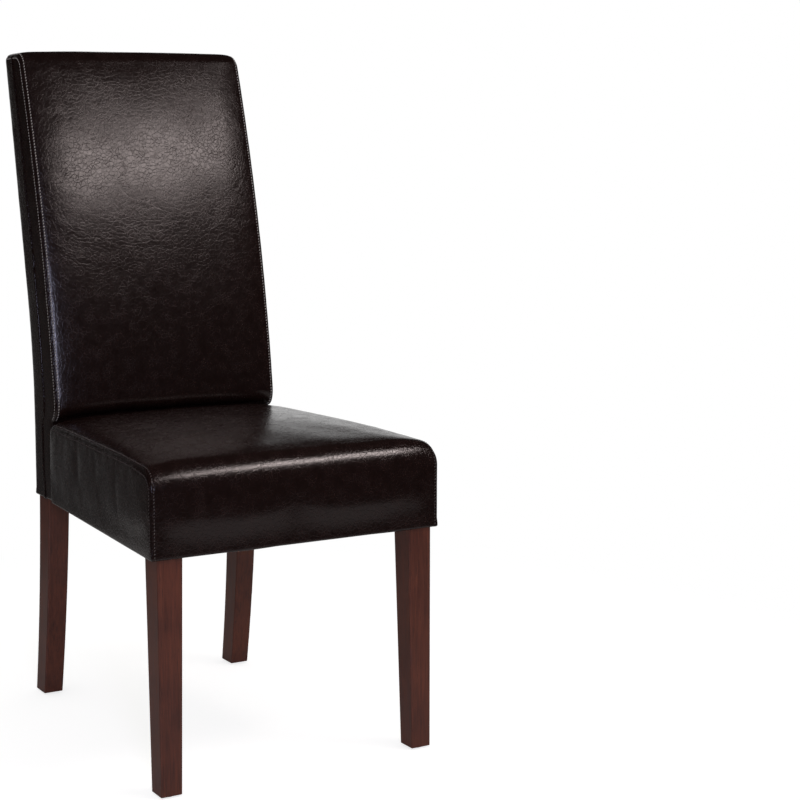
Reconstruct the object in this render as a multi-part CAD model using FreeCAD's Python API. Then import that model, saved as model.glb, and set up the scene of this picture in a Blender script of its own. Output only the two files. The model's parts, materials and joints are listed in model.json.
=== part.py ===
import FreeCAD, Part
import math
import os

# A padded dining chair with straight covered sides, in millimetres.
# +X points to the right in a front view, +Y to the back and +Z up.
# While the pieces are made, y = 0 is the front of the seat's leather and z = 0 the floor.
# Each piece is then moved so that the origin lies on the floor under the middle of the chair.
V = FreeCAD.Vector

# Overall sizes, over the leather
overall_height = 1024.0
seat_front_width = 445.0
seat_rear_width = 382.0
seat_depth = 460.0
back_width = 371.0
underside_height = 328.5
seat_side_height = 452.0
seat_crown = 20.0
seat_front_radius = 28.0
seat_front_radius_at_side = 48.0
seat_front_drop = 13.0
seat_rear_radius = 16.0
seat_rear_drop = 6.0
crown_power = 4
seat_steps = 6
corner_power = 10
seat_peak_share = 0.55
side_drop_share = 0.4

# Shape of the back: upright at the waist, curved above it, then straight
waist_height = 454.5
foot_splay = 42.5
bend_rise = 190.0
lean_angle = 11.0
waist_depth = 78.5
lumbar_height = 528.0
lumbar_swell = 16.0
middle_depth = 93.0
top_depth = 72.0
back_crown = 4.5
back_front_crown = 5.0
top_front_radius = 16.0
top_rear_radius = 10.0
edge_share = 0.94
edge_draw = 3.0
top_corner_drop = 6.0
lumbar_roll = 96.0
front_tilt = 0.22

# Sheet goods and padding
leather = 1.5
fold_width = 18.0
seam_lap = 0.5
layer_gap = 0.3
unit_gap = 0.6
crease_gap = 0.5
front_padding = 2.5
side_padding = 8.0
post_side_padding = 2.9
rear_padding = 2.0
strap_thickness = 2.0
top_padding = 14.0
cloth = 0.8
cloth_inset = 6.0

# Wood
leg_width = 37.0
leg_depth = 41.0
foot_width = 31.0
foot_depth = 32.4
post_width = 34.0
post_foot_width = 30.6
post_foot_depth = 37.5
post_waist_depth = 42.0
post_top_depth = 30.0
arris = 1.6
rail_thickness = 20.0
rail_height = 72.0
back_rail_thickness = 22.0
top_rail_height = 60.0
middle_rail_height = 40.0
middle_rail_centre = 720.0
lower_rail_height = 50.0
lower_rail_centre = 505.0
bolt_rail_height = 100.0
block_height = 44.0
front_block_reach = 62.0
rear_block_reach = 65.0

# Fasteners and feet
bolt_diameter = 6.0
bolt_spacing = 24.0
bolt_grip = 28.0
bolt_head_width = 10.0
bolt_head_height = 4.0
washer_diameter = 16.0
washer_thickness = 1.5
seat_bolt_diameter = 8.0
seat_bolt_head_width = 13.0
seat_bolt_head_height = 5.0
seat_bolt_offset = 78.0
seat_bolt_spacing = 36.0
seat_washer_diameter = 18.0
tee_nut_flange = 20.0
tee_nut_barrel = 10.0
tee_nut_wall = 1.5
tee_nut_length = 12.0
screw_diameter = 4.0
screw_head_diameter = 8.0
screw_head_height = 3.0
block_screw_bite = 15.0
block_screw_place = 26.0
block_screw_sink = 18.0
rail_screw_length = 56.0
dowel_diameter = 8.0
dowel_depth = 20.0
rail_dowel_bite = 14.0
pair_shares = (0.25, 0.75)
hole_clearance = 0.3
glide_height = 2.5
glide_diameter = 20.0
nail_diameter = 2.0
nail_length = 14.0
staple_width = 10.0
staple_leg = 7.0
staple_wire = 0.9
staple_pitch = 62.0
staple_inset = 12.0

# Webbing
long_strap_width = 58.0
long_strap_count = 4
cross_strap_width = 58.0
cross_strap_count = 4
strap_ramp = 14.0
back_strap_width = 48.0
back_strap_count = 5
back_strap_end = 12.0

# Places worked out from the sizes above
front_half = seat_front_width / 2
rear_half = seat_rear_width / 2
back_half = back_width / 2
rail_base = underside_height + leather
rail_top = rail_base + rail_height
strap_top = rail_top + 2 * strap_thickness
lining = leather + layer_gap
leg_front = leather + front_padding
leg_outer = front_half - leather - side_padding
frame_rear = seat_depth - lining
rear_rail_front = frame_rear - rail_thickness
back_front = seat_depth + unit_gap
waist_rear = back_front + waist_depth
post_rear_cover = leather + rear_padding
post_outer = back_half - leather - post_side_padding
post_inner = post_outer - post_width
post_top = overall_height - back_crown - top_padding
bend_height = waist_height + bend_rise
lean = math.radians(lean_angle)
splay_radius = (waist_height ** 2 + foot_splay ** 2) / (2 * foot_splay)
bend_radius = bend_rise / math.sin(lean)
block_middle = rail_base + rail_height / 2
far = 3000.0
wide = 300.0


# Small tools for shapes

def box(x0, x1, y0, y1, z0, z1):
    return Part.makeBox(x1 - x0, y1 - y0, z1 - z0, V(x0, y0, z0))


def cylinder(diameter, start, direction, length):
    return Part.makeCylinder(diameter / 2, length, start, direction)


def prism(points, along):
    return Part.Face(Part.makePolygon(points + [points[0]])).extrude(along)


def flat_shape(corners, z0, z1):
    return prism([V(x, y, z0) for x, y in corners], V(0, 0, z1 - z0))


def mirrored(shape):
    return shape.mirror(V(0, 0, 0), V(1, 0, 0))


def group(solids):
    return Part.makeCompound(solids)


def with_mirror(solids):
    return solids + [mirrored(solid) for solid in solids]


def arc(start, middle, end):
    return Part.Arc(start, middle, end).toShape()


def line(start, end):
    return Part.makeLine(start, end)


def tangent_arc(start, heading, end):
    # the arc that leaves its start along the heading and runs to its end
    chord = end - start
    unit = V(chord).normalize()
    sideways = heading - unit * heading.dot(unit)
    sag = chord.Length / 2 * math.tan(heading.getAngle(chord) / 2)
    return arc(start, start + chord * 0.5 + V(sideways).normalize() * sag, end)


def hexagon_head(width, start, direction, length):
    # a six-sided prism about an axis
    axis = V(direction).normalize()
    side = axis.cross(V(0, 0, 1)).normalize()
    up = axis.cross(side)
    corner = width / math.sqrt(3)
    angles = [math.radians(60 * k) for k in range(6)]
    points = [start + side * corner * math.cos(a) + up * corner * math.sin(a) for a in angles]
    return prism(points, axis * length)


# Seat: outline in plan and the padded form

def seat_half(y):
    # half the width over the leather, which narrows in a straight line to the back
    return front_half - (front_half - rear_half) * y / seat_depth


def seat_section(x, grow):
    # one fore-and-aft outline of the seat; it is higher and squarer towards the middle
    share = min(abs(x) / front_half, 1.0)
    top = seat_side_height + seat_crown * (1 - share ** crown_power) + grow
    widening = (seat_front_radius_at_side - seat_front_radius) * share ** corner_power
    radius = seat_front_radius + widening + grow
    front_top = top - seat_front_drop * (1 - (1 - side_drop_share) * share ** crown_power)
    rear_top = top - seat_rear_drop
    base = underside_height - grow
    front = -grow
    rear = seat_depth + grow
    rear_radius = seat_rear_radius + grow
    start = V(x, front + radius, front_top)
    end = V(x, rear - rear_radius, rear_top)
    crown = Part.Arc(start, V(x, seat_depth * seat_peak_share, top), end)
    front_shoulder = V(x, front, front_top - radius)
    rear_shoulder = V(x, rear, rear_top - rear_radius)
    return Part.Wire([
        line(V(x, front, base), front_shoulder),
        tangent_arc(start, crown.tangent(crown.FirstParameter)[0] * -1, front_shoulder),
        crown.toShape(),
        tangent_arc(end, crown.tangent(crown.LastParameter)[0], rear_shoulder),
        line(rear_shoulder, V(x, rear, base)),
        line(V(x, rear, base), V(x, front, base)),
    ])


def seat_plan(grow):
    # the tapered outline seen from above, long enough upwards to trim the lofted form
    front = seat_half(-grow) + grow
    rear = seat_half(seat_depth + grow) + grow
    corners = [(-front, -grow), (front, -grow), (rear, seat_depth + grow), (-rear, seat_depth + grow)]
    return flat_shape(corners, 0, overall_height)


def seat_form(grow):
    # crowned cushion form: sections at even steps across, joined smoothly, trimmed to the plan
    reach = front_half + seat_front_radius
    steps = [step / seat_steps for step in range(-seat_steps, seat_steps + 1)]
    loft = Part.makeLoft([seat_section(reach * step, grow) for step in steps], True, False)
    return loft.common(seat_plan(grow))


# Back: the rear line is an arc below the waist, an arc above it and a straight lean

def rear_line(z):
    # y of the leather's rear face
    if z < waist_height:
        drop = waist_height - z
        return waist_rear + splay_radius - math.sqrt(splay_radius ** 2 - drop ** 2)
    rise = min(z, bend_height) - waist_height
    y = waist_rear + bend_radius - math.sqrt(bend_radius ** 2 - rise ** 2)
    return y + max(z - bend_height, 0.0) * math.tan(lean)


def rear_point(x, z, grow):
    # a point of the rear line moved outwards, square to it
    slope = (rear_line(z + 1.0) - rear_line(z - 1.0)) / 2
    length = math.hypot(1.0, slope)
    return V(x, rear_line(z) + grow / length, z - grow * slope / length)


def front_edge_point(x, z, depth, swell, grow):
    # a point of the front face, given the thickness there, moved outwards
    y = rear_line(z) - depth - swell
    length = math.hypot(1.0, front_tilt)
    return V(x, y - grow / length, z + grow * front_tilt / length)


def back_section(x, grow):
    # one fore-and-aft outline of the back, hem to top; it is drawn in at the sides
    share = min(abs(x) / (back_half + grow), 1.0)
    drawn = max(share - edge_share, 0.0) / (1 - edge_share)
    swell = back_front_crown * (1 - share ** 2) - edge_draw * drawn
    top = overall_height - back_crown * share ** 2 - top_corner_drop * drawn
    base = underside_height - grow
    front = back_front - grow
    root = math.sqrt(0.5)
    turn = lumbar_height - lumbar_roll
    lumbar_depth = waist_depth + lumbar_swell + rear_line(lumbar_height) - waist_rear
    front_corner = top - top_front_radius
    rear_corner = top - top_rear_radius
    middle = (lumbar_height + front_corner) / 2
    front_top = front_edge_point(x, front_corner, top_depth, swell, grow)
    rear_top = rear_point(x, rear_corner, grow)
    front_radius = top_front_radius + grow
    rear_radius = top_rear_radius + grow
    ridge = top + grow
    ridge_front = V(x, front_top.y + front_radius, ridge)
    ridge_rear = V(x, rear_top.y - rear_radius, ridge)
    front_turn = V(x, front_top.y + front_radius * (1 - root), ridge - front_radius * (1 - root))
    rear_turn = V(x, rear_top.y - rear_radius * (1 - root), ridge - rear_radius * (1 - root))
    lumbar = front_edge_point(x, lumbar_height, lumbar_depth, swell, grow)
    face = Part.Arc(lumbar, front_edge_point(x, middle, middle_depth, swell, grow), front_top)
    return Part.Wire([
        line(V(x, front, base), V(x, front, turn)),
        tangent_arc(lumbar, face.tangent(face.FirstParameter)[0] * -1, V(x, front, turn)),
        face.toShape(),
        arc(front_top, front_turn, ridge_front),
        line(ridge_front, ridge_rear),
        arc(ridge_rear, rear_turn, rear_top),
        line(rear_top, rear_point(x, bend_height, grow)),
        arc(rear_point(x, bend_height, grow), rear_point(x, waist_height + bend_rise / 2, grow),
            rear_point(x, waist_height, grow)),
        arc(rear_point(x, waist_height, grow), rear_point(x, (waist_height + base) / 2, grow),
            V(x, rear_line(base) + grow, base)),
        line(V(x, rear_line(base) + grow, base), V(x, front, base)),
    ])


def back_form(grow):
    # curved slab with a slight crown and drawn-in edges, less the room that the seat takes
    half = back_half + grow
    inner = half * edge_share
    broad = [back_section(inner * step, grow) for step in (-1.0, -0.5, 0.0, 0.5, 1.0)]
    slab = Part.makeLoft(broad, True, False)
    for side in (-1, 1):
        edge = [back_section(side * inner, grow), back_section(side * half, grow)]
        slab = slab.fuse(Part.makeLoft(edge, True, True))
    return slab.removeSplitter().cut(seat_form(crease_gap - grow))


# Wooden posts: one curved plank on each side, the rear leg and the back's upright in one

def post_depth(z):
    if z < underside_height:
        share = max(z - glide_height, 0.0) / (underside_height - glide_height)
        return post_foot_depth + (post_waist_depth - post_foot_depth) * share
    share = max(z - bend_height, 0.0) / (post_top - bend_height)
    return post_waist_depth + (post_top_depth - post_waist_depth) * share


def post_rear(z):
    return rear_line(z) - post_rear_cover


def post_front(z):
    return post_rear(z) - post_depth(z)


def edge_along(curve, x, start, end):
    # the curve between two levels: an arc, or a line where it is straight
    first = V(x, curve(start), start)
    middle = V(x, curve((start + end) / 2), (start + end) / 2)
    last = V(x, curve(end), end)
    if middle.distanceToLine(first, last - first) < 0.001:
        return line(first, last)
    return arc(first, middle, last)


def curved_band(near, distant, x0, x1, z0, z1):
    # solid between two curves near(z) and distant(z), as wide as x0 to x1
    stops = [z for z in (underside_height, waist_height, bend_height) if z0 < z < z1]
    heights = [z0] + stops + [z1]
    spans = list(zip(heights[:-1], heights[1:]))
    edges = [edge_along(near, x0, low, high) for low, high in spans]
    edges.append(line(V(x0, near(z1), z1), V(x0, distant(z1), z1)))
    edges += [edge_along(distant, x0, high, low) for low, high in reversed(spans)]
    edges.append(line(V(x0, distant(z0), z0), V(x0, near(z0), z0)))
    return Part.Face(Part.Wire(edges)).extrude(V(x1 - x0, 0, 0))


def soften(shape, radius, keep):
    # rounds the edges that the test picks
    edges = [edge for edge in shape.Edges if keep(edge)]
    return shape.makeFillet(radius, edges)


def is_long_edge(edge):
    # an arris that runs up the leg
    return edge.BoundBox.ZLength > 20.0


def is_foot_edge(edge):
    return edge.BoundBox.ZMax < glide_height + 0.01


def rear_leg_blank(grow):
    # the post before its arrises are softened; grow makes the room it needs in the covers
    plank = curved_band(lambda z: post_front(z) - grow, lambda z: post_rear(z) + grow,
                        post_inner - grow, post_outer + grow, glide_height, post_top)
    taper = post_outer - post_foot_width
    outline = [V(post_outer + grow, 0, glide_height), V(post_outer + grow, 0, post_top),
               V(post_inner - grow, 0, post_top), V(post_inner - grow, 0, underside_height),
               V(taper - grow, 0, glide_height)]
    return plank.common(prism(outline, V(0, far, 0)))


def make_rear_leg():
    return soften(soften(rear_leg_blank(0.0), arris, is_long_edge), arris / 2, is_foot_edge)


# Front legs: outer and front faces upright, the inner two taper below the seat

def leg_section(width, depth, z, grow):
    # the leg's outline at one level, its four arrises rounded
    right = leg_outer + grow
    left = leg_outer - width - grow
    front = leg_front - grow
    rear = leg_front + depth + grow
    radius = arris + grow
    turn = radius * (1 - math.sqrt(0.5))
    return Part.Wire([
        line(V(left + radius, front, z), V(right - radius, front, z)),
        arc(V(right - radius, front, z), V(right - turn, front + turn, z), V(right, front + radius, z)),
        line(V(right, front + radius, z), V(right, rear - radius, z)),
        arc(V(right, rear - radius, z), V(right - turn, rear - turn, z), V(right - radius, rear, z)),
        line(V(right - radius, rear, z), V(left + radius, rear, z)),
        arc(V(left + radius, rear, z), V(left + turn, rear - turn, z), V(left, rear - radius, z)),
        line(V(left, rear - radius, z), V(left, front + radius, z)),
        arc(V(left, front + radius, z), V(left + turn, front + turn, z), V(left + radius, front, z)),
    ])


def front_leg_blank(grow):
    # straight inside the seat, tapered below it
    foot = leg_section(foot_width, foot_depth, glide_height, grow)
    knee = leg_section(leg_width, leg_depth, underside_height, grow)
    head = leg_section(leg_width, leg_depth, rail_top, grow)
    return Part.makeLoft([foot, knee, head], True, True)


def make_front_leg():
    return soften(front_leg_blank(0.0), arris / 2, is_foot_edge)


# Seat frame

def rail_outer(y):
    return seat_half(y) - leather - side_padding


def rail_inner(y):
    return rail_outer(y) - rail_thickness


def make_front_rail():
    reach = leg_outer - leg_width
    return box(-reach, reach, leg_front, leg_front + rail_thickness, rail_base, rail_top)


def make_side_rail():
    start = leg_front + leg_depth
    end = rear_rail_front
    corners = [(rail_inner(start), start), (rail_outer(start), start),
               (rail_outer(end), end), (rail_inner(end), end)]
    return flat_shape(corners, rail_base, rail_top)


def make_rear_rail():
    start = rear_rail_front
    end = frame_rear
    corners = [(-rail_outer(start), start), (rail_outer(start), start),
               (rail_outer(end), end), (-rail_outer(end), end)]
    return flat_shape(corners, rail_base, rail_top)


def front_block_corners():
    # ends of the slanting face: one on the front rail, one on the side rail
    on_front = (leg_outer - leg_width - front_block_reach, leg_front + rail_thickness)
    y = leg_front + leg_depth + front_block_reach
    return on_front, (rail_inner(y), y)


def make_front_block():
    on_front, on_side = front_block_corners()
    leg_inner = leg_outer - leg_width
    leg_rear = leg_front + leg_depth
    corners = [on_front, on_side, (rail_inner(leg_rear), leg_rear), (leg_inner, leg_rear),
               (leg_inner, leg_front + rail_thickness)]
    return flat_shape(corners, block_middle - block_height / 2, block_middle + block_height / 2)


def rear_block_corners():
    on_rear = (rail_inner(rear_rail_front) - rear_block_reach, rear_rail_front)
    y = rear_rail_front - rear_block_reach
    return on_rear, (rail_inner(y), y)


def make_rear_block():
    on_rear, on_side = rear_block_corners()
    corners = [on_rear, on_side, (rail_inner(rear_rail_front), rear_rail_front)]
    return flat_shape(corners, block_middle - block_height / 2, block_middle + block_height / 2)


# Fasteners: each maker gives the solids and the room that they need in the wood

def bolt(start, direction, diameter, length, head_width, head_height, washer):
    # start is the wood's surface; the washer and the head stand off it
    axis = V(direction).normalize()
    seat = start - axis * washer_thickness
    head = hexagon_head(head_width, seat - axis * head_height, axis, head_height)
    shank = cylinder(diameter, seat, axis, length)
    ring = cylinder(washer, seat, axis, washer_thickness)
    ring = ring.cut(cylinder(diameter + hole_clearance, seat, axis, washer_thickness))
    room = cylinder(diameter + hole_clearance, start, axis, length)
    return head.fuse(shank).removeSplitter(), ring, room


def screw(start, direction, length):
    # start is the face under the head, which is sunk into the wood
    axis = V(direction).normalize()
    head = cylinder(screw_head_diameter, start - axis * screw_head_height, axis, screw_head_height)
    shank = cylinder(screw_diameter, start, axis, length)
    room = cylinder(screw_diameter + hole_clearance, start, axis, length + hole_clearance)
    sink = cylinder(screw_head_diameter + hole_clearance, start - axis * rail_height, axis, rail_height)
    return head.fuse(shank), room.fuse(sink)


def leg_bolt_parts():
    # two bolts, square to the block's slanting face, into the leg's inner corner
    on_front, on_side = front_block_corners()
    middle_x = (on_front[0] + on_side[0]) / 2
    middle_y = (on_front[1] + on_side[1]) / 2
    across = V(on_side[1] - on_front[1], on_front[0] - on_side[0], 0).normalize()
    corner = V(leg_outer - leg_width - middle_x, leg_front + leg_depth - middle_y, 0)
    length = corner.dot(across) + bolt_grip
    parts = []
    for side in (-1, 1):
        start = V(middle_x, middle_y, block_middle + side * bolt_spacing / 2)
        parts.append(bolt(start, across, bolt_diameter, length, bolt_head_width, bolt_head_height,
                          washer_diameter))
    return parts


def block_screw_parts():
    # one screw into each rail from every block, set in from the ends of its slanting face
    parts = []
    length = block_screw_sink + block_screw_bite
    on_front, on_side = front_block_corners()
    start = V(on_front[0] + block_screw_place, on_front[1] + block_screw_sink, block_middle)
    parts.append(screw(start, V(0, -1, 0), length))
    y = on_side[1] - block_screw_place
    parts.append(screw(V(rail_inner(y) - block_screw_sink, y, block_middle), V(1, 0, 0), length))
    on_rear, on_side = rear_block_corners()
    start = V(on_rear[0] + block_screw_place, on_rear[1] - block_screw_sink, block_middle)
    parts.append(screw(start, V(0, 1, 0), length))
    y = on_side[1] + block_screw_place
    parts.append(screw(V(rail_inner(y) - block_screw_sink, y, block_middle), V(1, 0, 0), length))
    return parts


def seat_bolt_parts():
    # bolts from inside the seat, through both units, into tee nuts on the bolt rail
    parts = []
    reach = post_front(block_middle) - rear_rail_front
    for side in (-1, 1):
        start = V(seat_bolt_offset, rear_rail_front, block_middle + side * seat_bolt_spacing / 2)
        parts.append(bolt(start, V(0, 1, 0), seat_bolt_diameter, reach, seat_bolt_head_width,
                          seat_bolt_head_height, seat_washer_diameter))
    return parts


def tee_nut_parts():
    # flange in a flat recess on the rail's rear face, barrel pressed in from there
    parts = []
    face = post_front(waist_height) - 2 * tee_nut_wall
    for side in (-1, 1):
        centre = V(seat_bolt_offset, face, block_middle + side * seat_bolt_spacing / 2)
        inward = V(0, -1, 0)
        barrel = cylinder(tee_nut_barrel, centre, inward, tee_nut_length)
        flange = cylinder(tee_nut_flange, centre, V(0, 1, 0), tee_nut_wall)
        front = centre + inward * tee_nut_length
        thread = cylinder(seat_bolt_diameter + hole_clearance, front, V(0, 1, 0), far)
        room = cylinder(tee_nut_barrel + hole_clearance, centre, inward, tee_nut_length)
        recess = cylinder(tee_nut_flange + hole_clearance, centre, V(0, 1, 0), rail_thickness)
        parts.append((barrel.fuse(flange).cut(thread), room.fuse(recess)))
    return parts


def dowel(centre, direction):
    axis = V(direction).normalize()
    start = centre - axis * (dowel_depth - hole_clearance)
    solid = cylinder(dowel_diameter, start, axis, 2 * (dowel_depth - hole_clearance))
    room = cylinder(dowel_diameter + hole_clearance, centre - axis * dowel_depth, axis, 2 * dowel_depth)
    return solid, room


def seat_dowel_parts():
    # two in the butt joint of a side rail and the rear rail; they stop short of the rail's back
    x = (rail_inner(rear_rail_front) + rail_outer(rear_rail_front)) / 2
    y = rear_rail_front + rail_dowel_bite - dowel_depth
    heights = [rail_base + rail_height * share for share in pair_shares]
    return [dowel(V(x, y, z), V(0, 1, 0)) for z in heights]


def back_rails():
    # name, lowest and highest level of each rail between the posts
    return {
        "back_top_rail": (post_top - top_rail_height, post_top),
        "back_middle_rail": (middle_rail_centre - middle_rail_height / 2,
                             middle_rail_centre + middle_rail_height / 2),
        "back_lower_rail": (lower_rail_centre - lower_rail_height / 2,
                            lower_rail_centre + lower_rail_height / 2),
    }


def back_dowel_parts():
    parts = []
    for low, high in back_rails().values():
        for share in pair_shares:
            z = low + (high - low) * share
            parts.append(dowel(V(post_inner, post_rear(z) - back_rail_thickness / 2, z), V(1, 0, 0)))
    return parts


def rail_screw_parts():
    # two screws through the bolt rail into each post
    x = post_outer - post_width / 2
    heights = [rail_base + bolt_rail_height * share for share in pair_shares]
    start = back_front + lining + 2 * screw_head_height
    return [screw(V(x, start, z), V(0, 1, 0), rail_screw_length) for z in heights]


# Back frame

def make_back_rail(low, high):
    return curved_band(lambda z: post_rear(z) - back_rail_thickness, post_rear,
                       -post_inner, post_inner, low, high)


def make_bolt_rail():
    # square in front, its rear face follows the posts
    top = rail_base + bolt_rail_height
    return curved_band(lambda z: back_front + lining, post_front, -post_outer, post_outer,
                       rail_base, top)


# Webbing

def make_long_straps():
    # flat on the front and rear rails, lifted over the cross straps between them
    front = leg_front
    front_inner = leg_front + rail_thickness
    rear_inner = rear_rail_front
    low = rail_top
    high = rail_top + strap_thickness
    outline = [V(0, front, low), V(0, front_inner, low), V(0, front_inner + strap_ramp, high),
               V(0, rear_inner - strap_ramp, high), V(0, rear_inner, low), V(0, frame_rear, low)]
    above = [V(p.x, p.y, p.z + strap_thickness) for p in reversed(outline)]
    room = 2 * (rail_inner(rear_rail_front) - layer_gap)
    pitch = room / long_strap_count
    straps = []
    for number in range(long_strap_count):
        left = -room / 2 + pitch * (number + 0.5) - long_strap_width / 2
        strap = prism(outline + above, V(long_strap_width, 0, 0))
        strap.translate(V(left, 0, 0))
        straps.append(strap)
    return straps


def make_cross_straps():
    # flat across both side rails, under the lengthwise straps
    first = leg_front + leg_depth
    room = rear_rail_front - strap_ramp - first
    pitch = room / cross_strap_count
    straps = []
    for number in range(cross_strap_count):
        start = first + pitch * (number + 0.5) - cross_strap_width / 2
        end = start + cross_strap_width
        corners = [(-rail_outer(start), start), (rail_outer(start), start),
                   (rail_outer(end), end), (-rail_outer(end), end)]
        straps.append(flat_shape(corners, rail_top, rail_top + strap_thickness))
    return straps


def make_back_straps():
    # across the front faces of the posts
    lowest = rail_base + bolt_rail_height + back_strap_end
    pitch = (post_top - lowest) / back_strap_count
    reach = post_outer - back_strap_end
    straps = []
    for number in range(back_strap_count):
        middle = lowest + pitch * (number + 0.5)
        straps.append(curved_band(lambda z: post_front(z) - strap_thickness, post_front, -reach, reach,
                                  middle - back_strap_width / 2, middle + back_strap_width / 2))
    return straps


# Padding

def frame_plan(z0, z1):
    # outline of rails and legs seen from above
    leg_rear = leg_front + leg_depth
    right = [(leg_outer, leg_front), (leg_outer, leg_rear), (rail_outer(leg_rear), leg_rear),
             (rail_outer(frame_rear), frame_rear)]
    left = [(-x, y) for x, y in reversed(right)]
    return flat_shape(right + left, z0, z1)


def make_seat_foam():
    return seat_form(-lining).common(box(-far, far, -far, far, strap_top, far))


def make_seat_paddings():
    # thin foam on the outer faces of the frame: front, left, right
    band = seat_form(-lining).common(box(-far, far, -far, far, rail_base, strap_top))
    band = band.cut(frame_plan(rail_base, strap_top))
    front = band.common(box(-far, far, -far, leg_front, 0, far))
    right = band.common(box(0, far, leg_front, far, 0, far))
    return front, mirrored(right), right


def back_frame_room():
    # all that the back's frame and webbing take up, from edge to edge of the back
    above_rail = rail_base + bolt_rail_height
    upper = curved_band(lambda z: post_front(z) - strap_thickness - layer_gap, lambda z: waist_rear + far,
                        -wide, wide, above_rail, post_top)
    lower = box(-wide, wide, 0, far, 0, above_rail)
    return upper.fuse(lower)


def make_back_foam():
    return back_form(-lining).cut(back_frame_room())


def make_back_paddings():
    # behind the posts, and beside them on both sides
    rest = back_form(-lining).common(back_frame_room())
    rest = rest.cut(box(-far, far, 0, far, post_top, far))
    behind = curved_band(lambda z: post_rear(z) + layer_gap, lambda z: waist_rear + far / 2,
                         -post_outer, post_outer, rail_base, post_top)
    rear = rest.common(behind)
    side = rest.common(box(post_outer, far, 0, far, rail_base, post_top))
    return rear, mirrored(side), side


# Leather

def largest(shape):
    # a cut can leave crumbs; the panel is the largest solid
    return max(shape.Solids, key=lambda solid: solid.Volume)


def front_leg_room():
    right = front_leg_blank(hole_clearance)
    return group([right, mirrored(right)])


def rear_leg_room():
    right = rear_leg_blank(hole_clearance)
    return group([right, mirrored(right)])


def make_seat_covers():
    # the top runs down over the front; the side panels turn under and round the rear corners
    skin = seat_form(0.0).cut(seat_form(-leather))
    fold = leather + fold_width
    rear = seat_depth - fold
    opening = [(-seat_half(fold) + fold, fold), (seat_half(fold) - fold, fold),
               (seat_half(rear) - fold, seat_depth + far), (-seat_half(rear) + fold, seat_depth + far)]
    skin = skin.cut(flat_shape(opening, 0, rail_base))
    skin = skin.cut(front_leg_room())
    back_opening = rear_half - fold_width
    skin = skin.cut(box(-back_opening, back_opening, seat_depth - leather, far, 0, strap_top))
    lap = leather + seam_lap
    end = seat_depth - lap
    outside = [(seat_half(-lap) - lap, -lap), (far, -lap), (far, far), (rear_half - fold, far),
               (rear_half - fold, end), (seat_half(end) - lap, end)]
    under = [(0, fold), (far, fold), (far, far), (0, far)]
    side_room = flat_shape(outside, 0, far).fuse(flat_shape(under, 0, rail_base))
    rear_flap = box(-far, far, end, far, strap_top, far)
    side_room = side_room.cut(rear_flap)
    right = largest(skin.common(side_room))
    top = largest(skin.cut(side_room).cut(mirrored(side_room)))
    return top, mirrored(right), right


def make_back_covers():
    # the front runs over the top to the rear edge; the sides are separate panels
    skin = back_form(0.0).cut(back_form(-leather))
    inner_front = back_front + leather + fold_width
    inner_rear = rear_line(underside_height) - leather - fold_width
    reach = back_half - leather
    skin = skin.cut(box(-reach, reach, inner_front, inner_rear, 0, rail_base))
    skin = skin.cut(rear_leg_room())
    side_room = box(back_half - leather, far, 0, far, 0, far)
    right = largest(skin.common(side_room))
    middle = skin.common(box(-reach, reach, 0, far, 0, far))
    split = curved_band(lambda z: rear_line(z) - 2 * leather, lambda z: waist_rear + far / 2, -wide,
                        wide, glide_height, overall_height - top_rear_radius)
    low_rear = box(-far, far, inner_front + fold_width, far, 0, rail_base)
    rear_side = split.fuse(low_rear)
    rear = largest(middle.common(rear_side))
    front = largest(middle.cut(rear_side))
    return front, rear, mirrored(right), right


def make_dust_cover():
    # black cloth under the seat, cut out round the front legs
    edge = cloth_inset
    low = underside_height - cloth
    corners = [(-seat_half(edge) + edge, edge), (seat_half(edge) - edge, edge),
               (seat_half(seat_depth - edge) - edge, seat_depth - edge),
               (-seat_half(seat_depth - edge) + edge, seat_depth - edge)]
    return flat_shape(corners, low, underside_height).cut(front_leg_room())


def make_back_dust_cover():
    # the same cloth between the rear legs
    low = underside_height - cloth
    reach = back_half - cloth_inset
    sheet = box(-reach, reach, back_front + cloth_inset,
                rear_line(underside_height) - cloth_inset, low, underside_height)
    return sheet.cut(rear_leg_room())


def staple(x, y, along):
    # a wire staple driven upwards through cloth and leather into the rail
    half = staple_width / 2
    low = underside_height - cloth - staple_wire
    inner = half - staple_wire
    base = low + staple_wire
    top = low + staple_leg + staple_wire
    outline = [(-half, low), (half, low), (half, top), (inner, top), (inner, base), (-inner, base),
               (-inner, top), (-half, top)]
    side = V(-along.y, along.x, 0) * staple_wire
    centre = V(x, y, 0) - side * 0.5
    return prism([centre + along * a + V(0, 0, z) for a, z in outline], side)


def make_staples():
    # evenly along the folds of the seat's front and sides
    staples = []
    reach = leg_outer - leg_width - staple_width
    count = int(2 * reach // staple_pitch)
    for number in range(count + 1):
        x = -reach + 2 * reach * number / count
        staples.append(staple(x, staple_inset, V(1, 0, 0)))
    start = leg_front + leg_depth + staple_width
    end = rear_rail_front - staple_width
    count = int((end - start) // staple_pitch)
    slant = V(seat_half(end) - seat_half(start), end - start, 0).normalize()
    for number in range(count + 1):
        y = start + (end - start) * number / count
        right = staple(seat_half(y) - staple_inset, y, slant)
        staples += [right, mirrored(right)]
    return staples


# Feet

def foot_centres():
    front = (leg_outer - foot_width / 2, leg_front + foot_depth / 2)
    rear_y = post_rear(glide_height) - post_foot_depth / 2
    return [front, (post_outer - post_foot_width / 2, rear_y)]


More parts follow.
